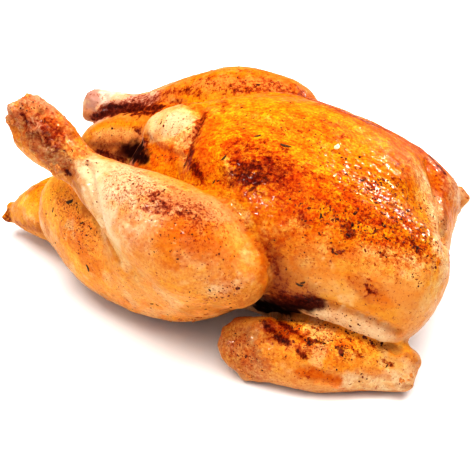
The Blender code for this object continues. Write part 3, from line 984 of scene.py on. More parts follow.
    ("brown", 0.6, 3.5, [(70, 174), (77, 186), (83, 202), (88, 214)], 0.5),
    ("brown", 0.45, 4, [(26, 222), (38, 228), (48, 232)], 0.5),
    ("orange", 0.6, 8, [(384, 126), (396, 142), (404, 160)]),
    ("golden", 0.5, 5, [(350, 226), (375, 232), (400, 236)], 0.6),
    ("peach", 0.55, 5, [(195, 84), (215, 82), (245, 82), (280, 86)], 0.6),
    ("rust", 0.55, 2.6, [(166, 108), (180, 104), (190, 104)], 0.5),
    ("golden", 0.55, 5, [(196, 106), (206, 118), (210, 130)]),
    ("golden", 0.5, 4, [(242, 150), (256, 154)]),
    ("burnt", 0.55, 4.5, [(228, 178), (244, 182), (258, 180)]),
    ("pale", 0.3, 7, [(148, 196), (160, 206)]),
    ("golden", 0.5, 4, [(330, 361), (352, 366), (376, 370)], 0.5),
    # Painted light on the shaded top of the wing's tip.
    ("cream", 0.6, 4, [(384, 346), (398, 352)], 0.5),
    ("orange", 0.35, 8, [(384, 284), (400, 292), (410, 298)], 0.6),
    ("tan", 0.6, 4, [(234, 338), (242, 348)], 0.5),
    # Painted light on the wing's shaded top.
    ("honey", 0.5, 3, [(325, 334), (345, 341), (360, 346)], 0.5),
    ("amber", 0.3, 7, [(340, 306), (370, 312)], 0.6),
    # Painted highlight on the top of the far shank.
    ("pearl", 0.35, 3.5, [(112, 97), (132, 97)], 0.3),
    ("brown", 0.45, 5, [(102, 150), (116, 150)], 0.5),
    ("rust", 0.5, 3, [(100, 112), (118, 110)], 0.5),
    # Painted shade under the drumstick's lower edge and in the gap above the wing.
    ("brown", 0.55, 3, [(206, 314), (222, 311), (238, 306), (252, 300)], 0.5),
    ("brown", 0.5, 6, [(268, 286), (288, 292), (316, 296)], 0.5),
    ("burnt", 0.7, 4, [(264, 297), (285, 300), (318, 302)], 0.4),
    ("flesh", 0.4, 6, [(166, 126), (176, 132)], 0.5),
    ("rust", 0.3, 5, [(192, 246), (206, 250)]),
    ("orange", 0.35, 6, [(340, 244), (360, 250), (380, 252)], 0.6),
    ("burnt", 0.45, 3, [(270, 338), (290, 346), (306, 352)]),
    ("rust", 0.35, 4, [(272, 352), (292, 358)]),
    ("pale", 0.6, 4, [(88, 168), (96, 192), (104, 216), (112, 238)], 0.5),
    # Painted light on the shaded end of the near thigh.
    ("apricot", 0.45, 5, [(62, 206), (74, 218), (84, 232)], 0.6),
    ("orange", 0.3, 6, [(70, 240), (80, 254), (92, 268)], 0.6),
    ("tan", 0.45, 3.5, [(236, 342), (244, 350)], 0.5),
    ("peach", 0.4, 4, [(232, 332), (244, 340), (246, 356)], 0.6),
    ("apricot", 0.55, 5, [(230, 230), (240, 244), (250, 262)], 0.6),
    ("golden", 0.45, 5, [(176, 172), (206, 184), (232, 204)], 0.6),
    ("amber", 0.45, 3, [(344, 364), (362, 370), (384, 374)], 0.6),
    ("orange", 0.45, 5, [(400, 236), (414, 244), (420, 256)], 0.6),
    ("golden", 0.4, 5, [(380, 262), (404, 266), (420, 268)], 0.6),
    # Painted shade along the underside of the far shank.
    ("brown", 0.8, 3, [(104, 106), (120, 104), (138, 104), (156, 103)], 0.4),
    ("burnt", 0.9, 3.2, [(98, 114), (108, 110), (124, 109), (142, 109), (160, 108)], 0.3),
    ("char", 0.6, 2.2, [(94, 117), (104, 115), (116, 113)], 0.4),
    ("rose", 0.8, 4, [(90, 92), (94, 100), (92, 106)], 0.5),
    ("pearl", 0.6, 2, [(102, 92), (103, 102), (98, 110)], 0.4),
    # Painted shade on the inner far leg by the opening of the body, and a near black rim on the
    # trunk's edge there.
    ("brown", 0.8, 3.5, [(92, 148), (106, 152), (122, 157)], 0.4),
    ("burnt", 0.7, 2.4, [(96, 153), (110, 157), (124, 162)], 0.4),
    ("hollow", 1, 2.4, [(142, 144), (138, 152), (134, 160)], 0.2),
    ("golden", 0.5, 3, [(98, 128), (116, 124), (134, 126)], 0.5),
    ("burnt", 0.4, 2, [(25, 116), (28, 126), (32, 138)], 0.6),
    ("char", 0.55, 1.4, [(22, 114), (26, 121), (34, 124)], 0.5),
    ("grey", 0.6, 3, [(32, 132), (42, 144), (48, 152)], 0.6),
    ("pink", 0.5, 2.2, [(32, 121), (40, 127)], 0.5),
    ("burnt", 0.3, 1.6, [(46, 134), (50, 144)], 0.6),
    ("rust", 0.25, 3.4, [(46, 122), (54, 128), (58, 136)], 0.6),
    ("tan", 0.6, 2.6, [(28, 96), (34, 104), (46, 112)], 0.6),
    ("char", 0.6, 1.3, [(62, 168), (70, 173)], 0.4),
    ("brown", 0.5, 2, [(46, 164), (56, 170)], 0.6),
    ("orange", 0.45, 4.5, [(376, 128), (392, 140), (402, 156)]),
    ("burnt", 0.45, 2, [(300, 214), (306, 224)], 0.6),
    ("amber", 0.35, 5, [(338, 244), (356, 250)], 0.6),
    # Painted shade in the crease right of the drumstick.
    ("brown", 0.45, 4, [(270, 250), (276, 268), (282, 284)], 0.6),
    ("rust", 0.5, 2.5, [(350, 172), (362, 178), (372, 186)]),
    ("golden", 0.5, 3, [(372, 166), (384, 178), (392, 186)]),
    ("rust", 0.45, 2.2, [(384, 196), (392, 206), (404, 214)]),
    ("lemon", 0.45, 2.4, [(272, 100), (300, 106), (320, 116)], 0.6),
    ("tan", 0.5, 4, [(14, 112), (24, 112), (34, 108)], 0.6),
]

# Pepper and fine herbs as grains: (number, spread in millimetres, grain in millimetres, path)
PEPPER = [
    (200, 11, 0.36, [(370, 185), (395, 205), (420, 235)]),
    (110, 9, 0.36, [(325, 205), (350, 225), (385, 240)]),
    (70, 12, 0.3, [(300, 150), (340, 165), (375, 180)]),
    (60, 14, 0.28, [(220, 115), (270, 130), (320, 135)]),
    (40, 9, 0.32, [(285, 190), (310, 215), (330, 235)]),
    (9, 2.4, 0.46, [(348, 228), (352, 236)]),
    (9, 1.8, 0.5, [(333, 251), (345, 250)]),
    (10, 2.4, 0.46, [(414, 243), (419, 254)]),
    (8, 2.2, 0.42, [(415, 276), (420, 284)]),
    (60, 9, 0.3, [(428, 210), (436, 240), (440, 275)]),
    (20, 14, 0.28, [(285, 245), (330, 255), (390, 262)]),
    (26, 16, 0.26, [(310, 290), (360, 300), (400, 300)]),
    (70, 10, 0.3, [(125, 180), (160, 200), (200, 212)]),
    (50, 10, 0.26, [(150, 240), (190, 250), (230, 262)]),
    (34, 8, 0.28, [(195, 300), (220, 298), (238, 292)]),
    (30, 12, 0.24, [(120, 275), (150, 300), (190, 310)]),
    (70, 8, 0.3, [(60, 200), (75, 222), (92, 245)]),
    (50, 9, 0.28, [(225, 332), (240, 350), (262, 365)]),
    (70, 6, 0.34, [(275, 328), (315, 340), (355, 352)]),
    (12, 1.6, 0.36, [(306, 343), (322, 342)]),
    (9, 1.4, 0.36, [(336, 347), (345, 351)]),
    (16, 1.6, 0.38, [(318, 325), (350, 333), (388, 347)]),
    (40, 2, 0.32, [(256, 322), (290, 320), (330, 328), (392, 350)]),
    (34, 8, 0.26, [(290, 360), (340, 370), (395, 378)]),
    (30, 8, 0.28, [(305, 312), (345, 320), (380, 335)]),
    (20, 6, 0.3, [(155, 118), (175, 128), (190, 125)]),
    (16, 5, 0.28, [(150, 150), (170, 160)]),
    (26, 7, 0.28, [(95, 130), (120, 138)]),
    (24, 7, 0.3, [(170, 80), (230, 76), (280, 82)]),
    (30, 7, 0.34, [(15, 105), (35, 100), (50, 125)]),
    (24, 6, 0.3, [(60, 145), (80, 160), (100, 170)]),
]
PEPPER_UNSEEN = 1500
PEPPER_UNSEEN_SIZE = 0.32
# Herb flakes: (length in millimetres, turn on the skin in degrees, pixel)
HERBS = [
    (4.6, 10, (70, 202)),
    (2.6, 70, (53, 210)),
    (2.4, 20, (82, 223)),
    (3.4, 110, (88, 268)),
    (2, 30, (152, 304)),
    (1.8, -40, (157, 305)),
    (5, -20, (285, 146)),
    (3.2, 20, (258, 136)),
    (3, 40, (224, 158)),
    (3.4, -10, (299, 285)),
    (2.6, 30, (303, 283)),
    (2.2, 60, (161, 123)),
    (1.8, 10, (189, 129)),
    (2.2, 20, (185, 165)),
    (2, 50, (214, 182)),
    (1.8, 0, (218, 181)),
    (2.6, 80, (321, 216)),
    (2, 20, (243, 129)),
    (2, -30, (336, 254)),
    (1.8, 60, (387, 366)),
]
HERBS_UNSEEN = 60
# Salt: (x, y, size in millimetres)
SALT = [(337, 147, 2.7), (360, 128, 0.9), (403, 196, 0.7), (396, 205, 0.6), (412, 214, 0.7),
        (404, 226, 0.8), (334, 176, 0.8), (388, 190, 0.6), (418, 228, 0.6)]
# Torn flakes of crisp skin: (number, spread in millimetres, size in millimetres, path)
SHREDS = [
    (12, 1.4, 1, [(168, 319), (190, 320), (214, 316)]),
    (10, 3, 1.2, [(6, 128), (12, 108), (28, 94)]),
    (8, 2.5, 1.1, [(45, 160), (60, 172)]),
    (8, 2, 1, [(238, 372), (256, 378)]),
    (5, 1, 1, [(450, 280), (451, 286)]),
    (6, 1.6, 0.9, [(400, 384), (412, 376)]),
    (8, 3, 0.9, [(200, 300), (235, 296)]),
]
SEASONING_SEED = 29
UNSEEN_FACING = -0.2        # how far up the skin faces where unseen seasoning lies
UNSEEN_FROM = 6 * MM        # and how high it is at least
# Shapes of the grains, as shares of their size, and how uneven their corners are
GRAIN_UNEVEN = 0.2
PEPPER_TRIES = 2            # grains tried for each one counted, some of which miss the skin
PEPPER_GAIN = 0.8
PEPPER_VARIES = 0.45
PEPPER_LONG = (0.8, 1.5)
PEPPER_WIDE = (0.6, 1.0)
PEPPER_THICK = 0.5
HERB_LENGTHS = (1.6, 3.6)   # millimetres, where the photograph doesn't show them
HERB_SHAPE = (0.55, 0.17, 0.10)
HERB_BEND = 0.9
HERB_UNEVEN = 0.12
SALT_SHAPE = (0.75, 0.5, 0.28)
SHRED_SIZES = (0.6, 1.3)
SHRED_SHAPE = (1.2, 0.8, 0.45)
SHRED_UNEVEN = 0.25


def spot_near(skin, random, path, spread):
    """A random place on the skin near a run of pixels: point and normal, or None."""
    stops = np.array(path, float)
    k = random.integers(0, max(1, len(stops) - 1))
    share = random.random()
    middle = stops[k] if len(stops) == 1 else stops[k] * (1 - share) + stops[k + 1] * share
    x, y = middle + random.normal(size=2) * spread * 0.5 * PIXELS_PER_MM
    hit = skin.under_pixel(x, y)
    return hit[:2] if hit else None


def spots_unseen(skin, random, count):
    """Random places on the upper skin that the photograph doesn't show."""
    view = skin.points - np.array(skin.lens.place)
    away = np.einsum("ij,ij->i", view, skin.normals) > 0
    upper = (skin.normals[:, 2] > UNSEEN_FACING) & (skin.points[:, 2] > UNSEEN_FROM)
    pool = np.nonzero(away & upper)[0]
    chosen = random.choice(pool, count, replace=False)
    return [(Vector(skin.points[i]), Vector(skin.normals[i])) for i in chosen]


def frame_on(point, normal, turn):
    """Axes that lie on the skin at a point, as the columns of a matrix."""
    normal = Vector(normal).normalized()
    side = normal.orthogonal().normalized()
    side.rotate(Matrix.Rotation(turn, 3, normal))
    return np.array(Matrix((side, normal.cross(side), normal)).transposed()), np.array(point)


def scattered(name, base, places):
    """One mesh from many copies of a base shape: places are (axes, point, scale, jitter)."""
    corners, faces = base
    all_points = [
        point + ((corners + jitter) * scale) @ axes.T for axes, point, scale, jitter in places
    ]
    all_faces = [
        [[i + k * len(corners) for i in face] for face in faces] for k in range(len(places))
    ]
    mesh = bpy.data.meshes.new(name)
    mesh.from_pydata(np.concatenate(all_points).tolist(), [], [f for g in all_faces for f in g])
    mesh.validate()
    obj = bpy.data.objects.new(name, mesh)
    bpy.context.scene.collection.objects.link(obj)
    return obj


def shaken(random, base, share):
    """Random nudges for the corners of a base shape of size 1."""
    return random.uniform(-share, share, base[0].shape)


def ball(subdivisions):
    """Corners and faces of a unit ball."""
    bm = bmesh.new()
    bmesh.ops.create_icosphere(bm, subdivisions=subdivisions, radius=1.0)
    bm.verts.ensure_lookup_table()
    corners = np.array([v.co[:] for v in bm.verts])
    faces = [[v.index for v in f.verts] for f in bm.faces]
    bm.free()
    return corners, faces


def pepper(skin, random):
    base = ball(1)
    spots = []
    for count, spread, size, path in PEPPER:
        found = [spot_near(skin, random, path, spread) for _ in range(PEPPER_TRIES * count)]
        spots += [(s, size) for s in found if s]
    spots += [(s, PEPPER_UNSEEN_SIZE) for s in spots_unseen(skin, random, PEPPER_UNSEEN)]
    places = []
    for (point, normal), size in spots:
        axes, place = frame_on(point, normal, random.uniform(0, math.tau))
        grain = PEPPER_GAIN * size * MM * math.exp(random.normal() * PEPPER_VARIES)
        shape = [random.uniform(*PEPPER_LONG), random.uniform(*PEPPER_WIDE), PEPPER_THICK]
        places.append((axes, place, grain * np.array(shape), shaken(random, base, GRAIN_UNEVEN)))
    return scattered("pepper", base, places)


def herbs(skin, random):
    corners, faces = ball(2)
    bend = corners.copy()
    bend[:, 1] += HERB_BEND * corners[:, 0] ** 2
    base = (bend, faces)
    spots = []
    for length, turn, pixel in HERBS:
        hit = skin.under_pixel(*pixel)
        if hit:
            spots.append((hit[0], hit[1], length, math.radians(turn)))
    for point, normal in spots_unseen(skin, random, HERBS_UNSEEN):
        spots.append((point, normal, random.uniform(*HERB_LENGTHS), random.uniform(0, math.tau)))
    places = []
    for point, normal, length, turn in spots:
        axes, place = frame_on(point, normal, 0.0)
        across = np.array(skin.lens.right)
        flat = across - axes[:, 2] * (across @ axes[:, 2])
        flat /= np.linalg.norm(flat)
        side = np.cross(axes[:, 2], flat)
        along = flat * math.cos(turn) + side * math.sin(turn)
        axes = np.stack([along, np.cross(axes[:, 2], along), axes[:, 2]], axis=1)
        scale = length * MM * np.array(HERB_SHAPE)
        places.append((axes, place, scale, shaken(random, base, HERB_UNEVEN)))
    return scattered("herb_flakes", base, places)


def salt(skin, random):
    base = ball(1)
    places = []
    for x, y, size in SALT:
        hit = skin.under_pixel(x, y)
        if not hit:
            continue
        axes, place = frame_on(hit[0], hit[1], random.uniform(0, math.tau))
        scale = size * MM * np.array(SALT_SHAPE)
        places.append((axes, place, scale, shaken(random, base, GRAIN_UNEVEN)))
    return scattered("salt_chips", base, places)


def shreds(skin, random):
    base = ball(2)
    places = []
    for count, spread, size, path in SHREDS:
        for _ in range(count):
            spot = spot_near(skin, random, path, spread)
            if not spot:
                continue
            axes, place = frame_on(*spot, random.uniform(0, math.tau))
            scale = size * MM * random.uniform(*SHRED_SIZES) * np.array(SHRED_SHAPE)
            places.append((axes, place, scale, shaken(random, base, SHRED_UNEVEN)))
    return scattered("crisp_shreds", base, places)


# Materials
SPECK_LEAST = 0.3           # the smallest speck, as a share of the largest
SPECK_EDGE = 0.12
STRETCH = (0.45, 1.0, 1.0)  # of patterns that run along the body
WARP_SIZE = 0.9             # millimetres
WARP_REACH = 2.2 * MM
# A value whose name ends in NOISE is a patch in millimetres, its detail and its roughness.
# Uneven browning within a tone: a net of darker patches, paler islets and dark fibres, each
# (space, patch in millimetres, detail, roughness, low, high, share if crisp, share anywhere, tint)
UNEVEN = [
    ("ragged", 5.0, 8.0, 0.70, 0.48, 0.56, 0.95, 0.05, (0.88, 0.52, 0.32)),
    ("ragged", 3.6, 4.0, 0.60, 0.56, 0.66, 0.70, 0.15, (1.06, 1.36, 1.30)),
    ("along", 1.7, 5.0, 0.65, 0.53, 0.62, 0.85, 0.0, (0.72, 0.38, 0.24)),
]
DUSK_TINT = (0.80, 0.52, 0.36)
GLOW_TINT = (1.08, 1.26, 1.15)
MOTTLE_NOISE = (1.2, 4.0, 0.6)
MOTTLE_RANGE = (0.38, 0.62)
MOTTLE_SHARE = (0.80, 0.12)
# Fine dark grain: (low, high, tint), where burnt places lift the noise by GRAIN_LIFT
GRAIN_NOISE = (1.6, 6.0, 0.68)
GRAIN_LIFT = 0.30
GRAIN_MOST = 0.9
GRAIN_STEPS = [(0.645, 0.70, (0.60, 0.24, 0.17)), (0.75, 0.81, (0.34, 0.22, 0.25))]
# Brown pores: (cell in millimetres, size as a share of it, density, strength)
PORES = [(1.7, 0.34, 0.55, 1.0), (0.9, 0.44, 0.45, 0.8)]
GRIT_NOISE = (0.95, 3.0, 0.6)
GRIT_LIFT = 0.13
GRIT_RANGE = (0.665, 0.70)
PORE_SHARE = 0.85
PORE_TINT = (0.40, 0.11, 0.06)
# Gloss: the range of the noise, and the roughness that it stands for
ROUGHNESS_NOISE = (3.0, 3.0)
ROUGHNESS_RANGE = (0.3, 0.7, 0.40, 0.58)
OIL_SMOOTHS = 0.22
DULL_ROUGHENS = 0.5
WET_NOISE = (0.95, 2.0, 0.5)
WET_RANGE = (0.545, 0.61, 0.04, 1.0)
PIMPLES_WET = 0.05
# Fine relief, as shares of BUMP_HEIGHT
BUMP_HEIGHT = 1.0 * MM
FINE_GRAIN = 0.03
FINE_NOISE = (0.9, 1.0, 0.5)
WRINKLE_NOISE = (3.2, 1.5, 0.5)
WRINKLE_DEPTH = (1.3, 0.40)
PIMPLE_CELL = 2.1
PIMPLE_DEPTH = -0.65
SKIN_SETTINGS = {
    "Specular IOR Level": 0.07,
    "IOR": 1.42,
    "Coat IOR": 1.6,
    "Coat Roughness": 0.06,
    "Subsurface Weight": 0.05,
    "Subsurface Radius": (3 * MM, 1.2 * MM, 0.6 * MM),
    "Subsurface Scale": 1.0,
}


def put(socket, value):
    """Sets a socket to a number or a colour, or links another node's socket to it."""
    if isinstance(value, bpy.types.NodeSocket):
        socket.node.id_data.links.new(value, socket)
    else:
        socket.default_value = value


def add(tree, kind, inputs=(), **settings):
    """A node with its settings; an input is a number, a colour or another node's socket."""
    made = tree.nodes.new(kind)
    for name, value in settings.items():
        setattr(made, name, value)
    for name, value in dict(inputs).items():
        put(made.inputs[name], value)
    return made


def number(tree, operation, a, b=0.0, c=0.0):
    return add(tree, "ShaderNodeMath", {0: a, 1: b, 2: c}, operation=operation).outputs[0]


def times(tree, a, b):
    return number(tree, "MULTIPLY", a, b)


def scaled(tree, value, gain, base):
    """The value times gain, plus base."""
    return number(tree, "MULTIPLY_ADD", value, gain, base)


def remap(tree, value, low, high, to_low=0.0, to_high=1.0):
    """A smooth step from to_low, where the value is low, to to_high."""
    sockets = {"Value": value, "From Min": low, "From Max": high, "To Min": to_low,
               "To Max": to_high}
    return add(tree, "ShaderNodeMapRange", sockets, interpolation_type="SMOOTHSTEP").outputs[0]


def blend(tree, kind, share, a, b):
    made = add(tree, "ShaderNodeMix", data_type="RGBA", blend_type=kind)
    for index, value in ((0, share), (6, a), (7, b)):
        put(made.inputs[index], value)
    return made.outputs[2]


def tinted(tree, colour, tint):
    return blend(tree, "MULTIPLY", 1.0, colour, (*tint, 1))


def stained(tree, colour, share, tint):
    """The colour, multiplied by the tint as far as share says."""
    return blend(tree, "MIX", share, colour, tinted(tree, colour, tint))


def noise(tree, coords, size, detail=4.0, roughness=0.55):
    """Noise from 0 to 1 with patches about size millimetres across."""
    sockets = {"Vector": coords, "Scale": 1 / (size * MM), "Detail": detail,
               "Roughness": roughness}
    return add(tree, "ShaderNodeTexNoise", sockets).outputs["Fac"]


def specks(tree, coords, cell, size, density):
    """Round specks on a jittered grid of cells, in the share of the cells that density gives."""
    sockets = {"Vector": coords, "Scale": 1 / (cell * MM)}
    made = add(tree, "ShaderNodeTexVoronoi", sockets)
    chance = add(tree, "ShaderNodeSeparateColor", {"Color": made.outputs["Color"]})
    chosen = number(tree, "LESS_THAN", chance.outputs[0], density)
    spread = scaled(tree, chance.outputs[1], (1 - SPECK_LEAST) * size, SPECK_LEAST * size)
    inner = number(tree, "SUBTRACT", spread, made.outputs["Distance"])
    return times(tree, remap(tree, inner, 0.0, SPECK_EDGE), chosen)


def layer_of(tree, name, output="Fac"):
    return add(tree, "ShaderNodeAttribute", attribute_name=name).outputs[output]


def new_material(name):
    material = bpy.data.materials.new(name)
    material.use_nodes = True
    tree = material.node_tree
    shader = tree.nodes["Principled BSDF"]
    coords = add(tree, "ShaderNodeTexCoord").outputs["Object"]
    return material, tree, shader, coords


def warped(tree, coords):
    """The coordinates pushed about by noise, so that patches get ragged edges."""
    warp = add(tree, "ShaderNodeTexNoise", {"Vector": coords, "Scale": 1 / (WARP_SIZE * MM)})
    nudge = add(tree, "ShaderNodeVectorMath", {0: warp.outputs["Color"], 1: (0.5, 0.5, 0.5)},
                operation="SUBTRACT").outputs[0]
    sockets = {0: nudge, 1: (WARP_REACH,) * 3, 2: coords}
    return add(tree, "ShaderNodeVectorMath", sockets, operation="MULTIPLY_ADD").outputs[0]


def uneven_tone(tree, colour, spaces):
    """Uneven browning within a tone, stronger where the skin is crisp."""
    crisp = layer_of(tree, "crisp")
    for space, size, detail, roughness, low, high, gain, base, tint in UNEVEN:
        shows = remap(tree, noise(tree, spaces[space], size, detail, roughness), low, high)
        share = times(tree, shows, scaled(tree, crisp, gain, base))
        colour = stained(tree, colour, share, tint)
    side = remap(tree, noise(tree, spaces["plain"], *MOTTLE_NOISE), *MOTTLE_RANGE)
    dusk = tinted(tree, colour, DUSK_TINT)
    mottled = blend(tree, "MIX", side, dusk, tinted(tree, colour, GLOW_TINT))
    return blend(tree, "MIX", scaled(tree, crisp, *MOTTLE_SHARE), colour, mottled)


def burnt_tone(tree, colour, ragged):
    """Fine dark grain: the more a place is burnt, the more of it is dark."""
    grain = noise(tree, ragged, *GRAIN_NOISE)
    grain = scaled(tree, layer_of(tree, "burn"), GRAIN_LIFT, grain)
    for low, high, tint in GRAIN_STEPS:
        colour = stained(tree, colour, remap(tree, grain, low, high, 0.0, GRAIN_MOST), tint)
    return colour


def pored_tone(tree, colour, ragged):
    """Brown pores and specks."""
    pores = layer_of(tree, "pores")
    grit = scaled(tree, pores, GRIT_LIFT, noise(tree, ragged, *GRIT_NOISE))
    marks = remap(tree, grit, *GRIT_RANGE)
    for cell, size, density, strength in PORES:
        found = specks(tree, ragged, cell, size, times(tree, pores, density))
        marks = number(tree, "MAXIMUM", marks, times(tree, found, strength))
    return stained(tree, colour, times(tree, marks, PORE_SHARE), PORE_TINT)


def oily_gloss(tree, shader, coords):
    """Roughness, and a wet coat that breaks up into small glints."""
    oil = layer_of(tree, "oil")
    rough = remap(tree, noise(tree, coords, *ROUGHNESS_NOISE), *ROUGHNESS_RANGE)
    rough = number(tree, "SUBTRACT", rough, times(tree, oil, OIL_SMOOTHS))
    rough = number(tree, "ADD", rough, times(tree, layer_of(tree, "dull"), DULL_ROUGHENS))
    put(shader.inputs["Roughness"], rough)
    wet = scaled(tree, layer_of(tree, "pimply"), PIMPLES_WET, noise(tree, coords, *WET_NOISE))
    put(shader.inputs["Coat Weight"], times(tree, oil, remap(tree, wet, *WET_RANGE)))


def fine_relief(tree, shader, coords, along):
    """Wrinkles and pimples as a bump, for the skin and for its wet coat."""
    pimply = layer_of(tree, "pimply")
    depth = scaled(tree, pimply, *WRINKLE_DEPTH)
    wrinkles = times(tree, noise(tree, along, *WRINKLE_NOISE), depth)
    height = scaled(tree, noise(tree, coords, *FINE_NOISE), FINE_GRAIN, wrinkles)
    sockets = {"Vector": coords, "Scale": 1 / (PIMPLE_CELL * MM)}
    cells = add(tree, "ShaderNodeTexVoronoi", sockets, feature="SMOOTH_F1").outputs["Distance"]
    pimples = times(tree, cells, times(tree, pimply, PIMPLE_DEPTH))
    sockets = {"Height": number(tree, "ADD", height, pimples), "Strength": 1.0,
               "Distance": BUMP_HEIGHT}
    bump = add(tree, "ShaderNodeBump", sockets).outputs["Normal"]
    put(shader.inputs["Normal"], bump)
    put(shader.inputs["Coat Normal"], bump)


def skin_material():
    material, tree, shader, coords = new_material("roast_skin_look")
    along = add(tree, "ShaderNodeMapping", {"Vector": coords, "Scale": STRETCH}).outputs[0]
    ragged = warped(tree, coords)
    spaces = {"plain": coords, "ragged": ragged, "along": along}
    colour = uneven_tone(tree, layer_of(tree, "tone", "Color"), spaces)
    colour = burnt_tone(tree, colour, ragged)
    put(shader.inputs["Base Color"], pored_tone(tree, colour, ragged))
    oily_gloss(tree, shader, coords)
    fine_relief(tree, shader, coords, along)
    for name, value in SKIN_SETTINGS.items():
        shader.inputs[name].default_value = value
    return material


# Looks of the grains: dark tone, light tone, patch in millimetres, roughness
CRUMBS = {
    "pepper_look": ((0.020, 0.005, 0.003), (0.20, 0.030, 0.006), 1.8, 0.55),
    "herb_look": ((0.016, 0.009, 0.004), (0.10, 0.045, 0.013), 0.8, 0.60),
    "salt_look": ((0.55, 0.33, 0.18), (0.80, 0.62, 0.42), 0.9, 0.40),
    "shred_look": ((0.33, 0.09, 0.02), (0.62, 0.25, 0.06), 0.9, 0.50),
}
CRUMB_RANGE = (0.35, 0.65)
CRUMB_BUMP = 0.1 * MM


def crumb_material(name):
    """Two tones mixed by noise, for pepper, herbs, salt and crumbs of skin."""
    dark, light, size, roughness = CRUMBS[name]
    material, tree, shader, coords = new_material(name)
    share = remap(tree, noise(tree, coords, size, 3.0), *CRUMB_RANGE)
    put(shader.inputs["Base Color"], blend(tree, "MIX", share, (*dark, 1), (*light, 1)))
    bump = add(tree, "ShaderNodeBump", {"Height": share, "Strength": 0.4, "Distance": CRUMB_BUMP})
    put(shader.inputs["Normal"], bump.outputs["Normal"])
    shader.inputs["Roughness"].default_value = roughness
    shader.inputs["Specular IOR Level"].default_value = 0.2
    return material


# Studio
FLOOR_SIZE = 6.0
FLOOR_TONES = ((0.93, 0.93, 0.93, 1), (0.95, 0.95, 0.95, 1))
FLOOR_PATCH = 40.0          # millimetres
FLOOR_GLOW = 0.02
LIGHTS = {
    # place in metres, side of the square, watts, colour, whether it only shows in the gloss
    "top": ((0.04, -0.02, 0.72), 1.00, 12.0, (1.0, 0.99, 0.97), False),
    "front_fill": ((-0.10, -0.60, 0.62), 0.90, 1.8, (1.0, 0.98, 0.95), False),
    "back_sheen": ((0.22, 0.54, 0.36), 0.14, 2.6, (1.0, 0.98, 0.93), True),
    "front_sheen": ((-0.26, -0.54, 0.56), 0.16, 3.2, (1.0, 0.98, 0.94), True),
}
WORLD_COLOUR = (0.90, 0.96, 1.06, 1)
WORLD_STRENGTH = 0.31
# Strength of the world as the gloss shows it: the tent is dark where it isn't lit.
WORLD_GLOSS = 0.12


def floor_material():
    material, tree, shader, coords = new_material("pale_floor")
    share = noise(tree, coords, FLOOR_PATCH, 2.0)
    put(shader.inputs["Base Color"], blend(tree, "MIX", share, *FLOOR_TONES))
    shader.inputs["Roughness"].default_value = 0.7
    shader.inputs["IOR"].default_value = 1.2
    shader.inputs["Emission Color"].default_value = (1, 1, 1, 1)
    shader.inputs["Emission Strength"].default_value = FLOOR_GLOW
    return material


def area_light(name, place, side, watts, colour, glossy_only):
    """A square light that faces the middle of the floor."""
    light = bpy.data.lights.new(name, "AREA")
    light.size = side
    light.energy = watts
    light.color = colour
    obj = bpy.data.objects.new(name, light)
    obj.location = place
    obj.rotation_euler = Vector(place).to_track_quat("Z", "Y").to_euler()
    obj.visible_glossy = glossy_only
    obj.visible_diffuse = not glossy_only
    bpy.context.scene.collection.objects.link(obj)


def studio():
    bm = bmesh.new()
    bmesh.ops.create_grid(bm, x_segments=1, y_segments=1, size=FLOOR_SIZE / 2)
    floor = object_from(bm, "floor")
    floor.data.materials.append(floor_material())
    for name, settings in LIGHTS.items():
        area_light(name, *settings)
    world = bpy.data.worlds.new("studio")
    world.use_nodes = True
    background = world.node_tree.nodes["Background"]
    background.inputs["Color"].default_value = WORLD_COLOUR
    glossy = add(world.node_tree, "ShaderNodeLightPath").outputs["Is Glossy Ray"]
    step = WORLD_GLOSS - WORLD_STRENGTH
    put(background.inputs["Strength"], scaled(world.node_tree, glossy, step, WORLD_STRENGTH))
    bpy.context.scene.world = world
    bpy.context.scene.view_settings.view_transform = "Standard"
    bpy.context.scene.view_settings.look = "High Contrast"


# Tone by how crusted a place is, for each kind of member: (crust, tone)
BREAST_TONES = [(-0.7, "flesh"), (-0.25, "peach"), (0.05, "peach"), (0.35, "amber"),
                (0.75, "amber"), (1.1, "golden")]
LEG_TONES = [(0.55, "peach"), (0.9, "amber"), (1.2, "golden")]
WING_TONES = [(0.5, "peach"), (0.8, "golden"), (1.1, "amber")]
WING_CRUST = 0.45           # how much more a wing is crusted than what lies as high
# Crust: share of the way up that the skin faces, height in millimetres and patches
CRUST_FACING = 0.55
CRUST_MIDDLE = 52
CRUST_RANGE = 70
CRUST_PATCHES = 0.28
CRUST_CLOUD = (22, 41, 3)   # patch in millimetres, seed and octaves, as for cloud()
TAIL_START = -66 * MM
TAIL_TOP = 48               # millimetres
PALE_FOOT = (3, 14)         # height in millimetres over which the skin by the floor is pale
# Fine dark grain over whole members: amount, and the range of crust over which it comes in
TRUNK_GRAIN = 0.16
TRUNK_GRAIN_RANGE = (0.3, 0.8)
FAR_LEG_GRAIN = 0.25
FAR_LEG_GRAIN_RANGE = (0.1, 0.5)
WING_GRAIN = 0.15
NEAR_LEG_GRAIN = 0.06
# Browned islands and a broad haze on skin that the photograph doesn't show
ISLANDS = (13, 57, 3)
ISLANDS_FINE = (2.8, 58, 2)
ISLANDS_RANGE = (0.35, 0.95)
ISLANDS_GRAIN = 0.45
HAZE = (19, 59, 3)
HAZE_RANGE = (-0.1, 0.9)
HAZE_CRUST = (-0.1, 0.6)
HAZE_GRAIN = 0.30
# Patches of tone over the base: (tone, amount, patch in millimetres, seed, low, high, share of
# the patch's length that runs along the body, where)
PATCHES = [
    ("burnt", 0.60, 9, 63, 0.55, 0.95, 1.0, "hidden_top"),
    ("orange", 0.50, 10, 71, 0.20, 0.70, 1.0, "hidden"),
    ("orange", 0.45, 4.5, 77, 0.15, 0.80, 0.45, "trunk_top"),
    ("amber", 0.35, 6, 83, 0.40, 0.90, 1.0, "legs"),
]
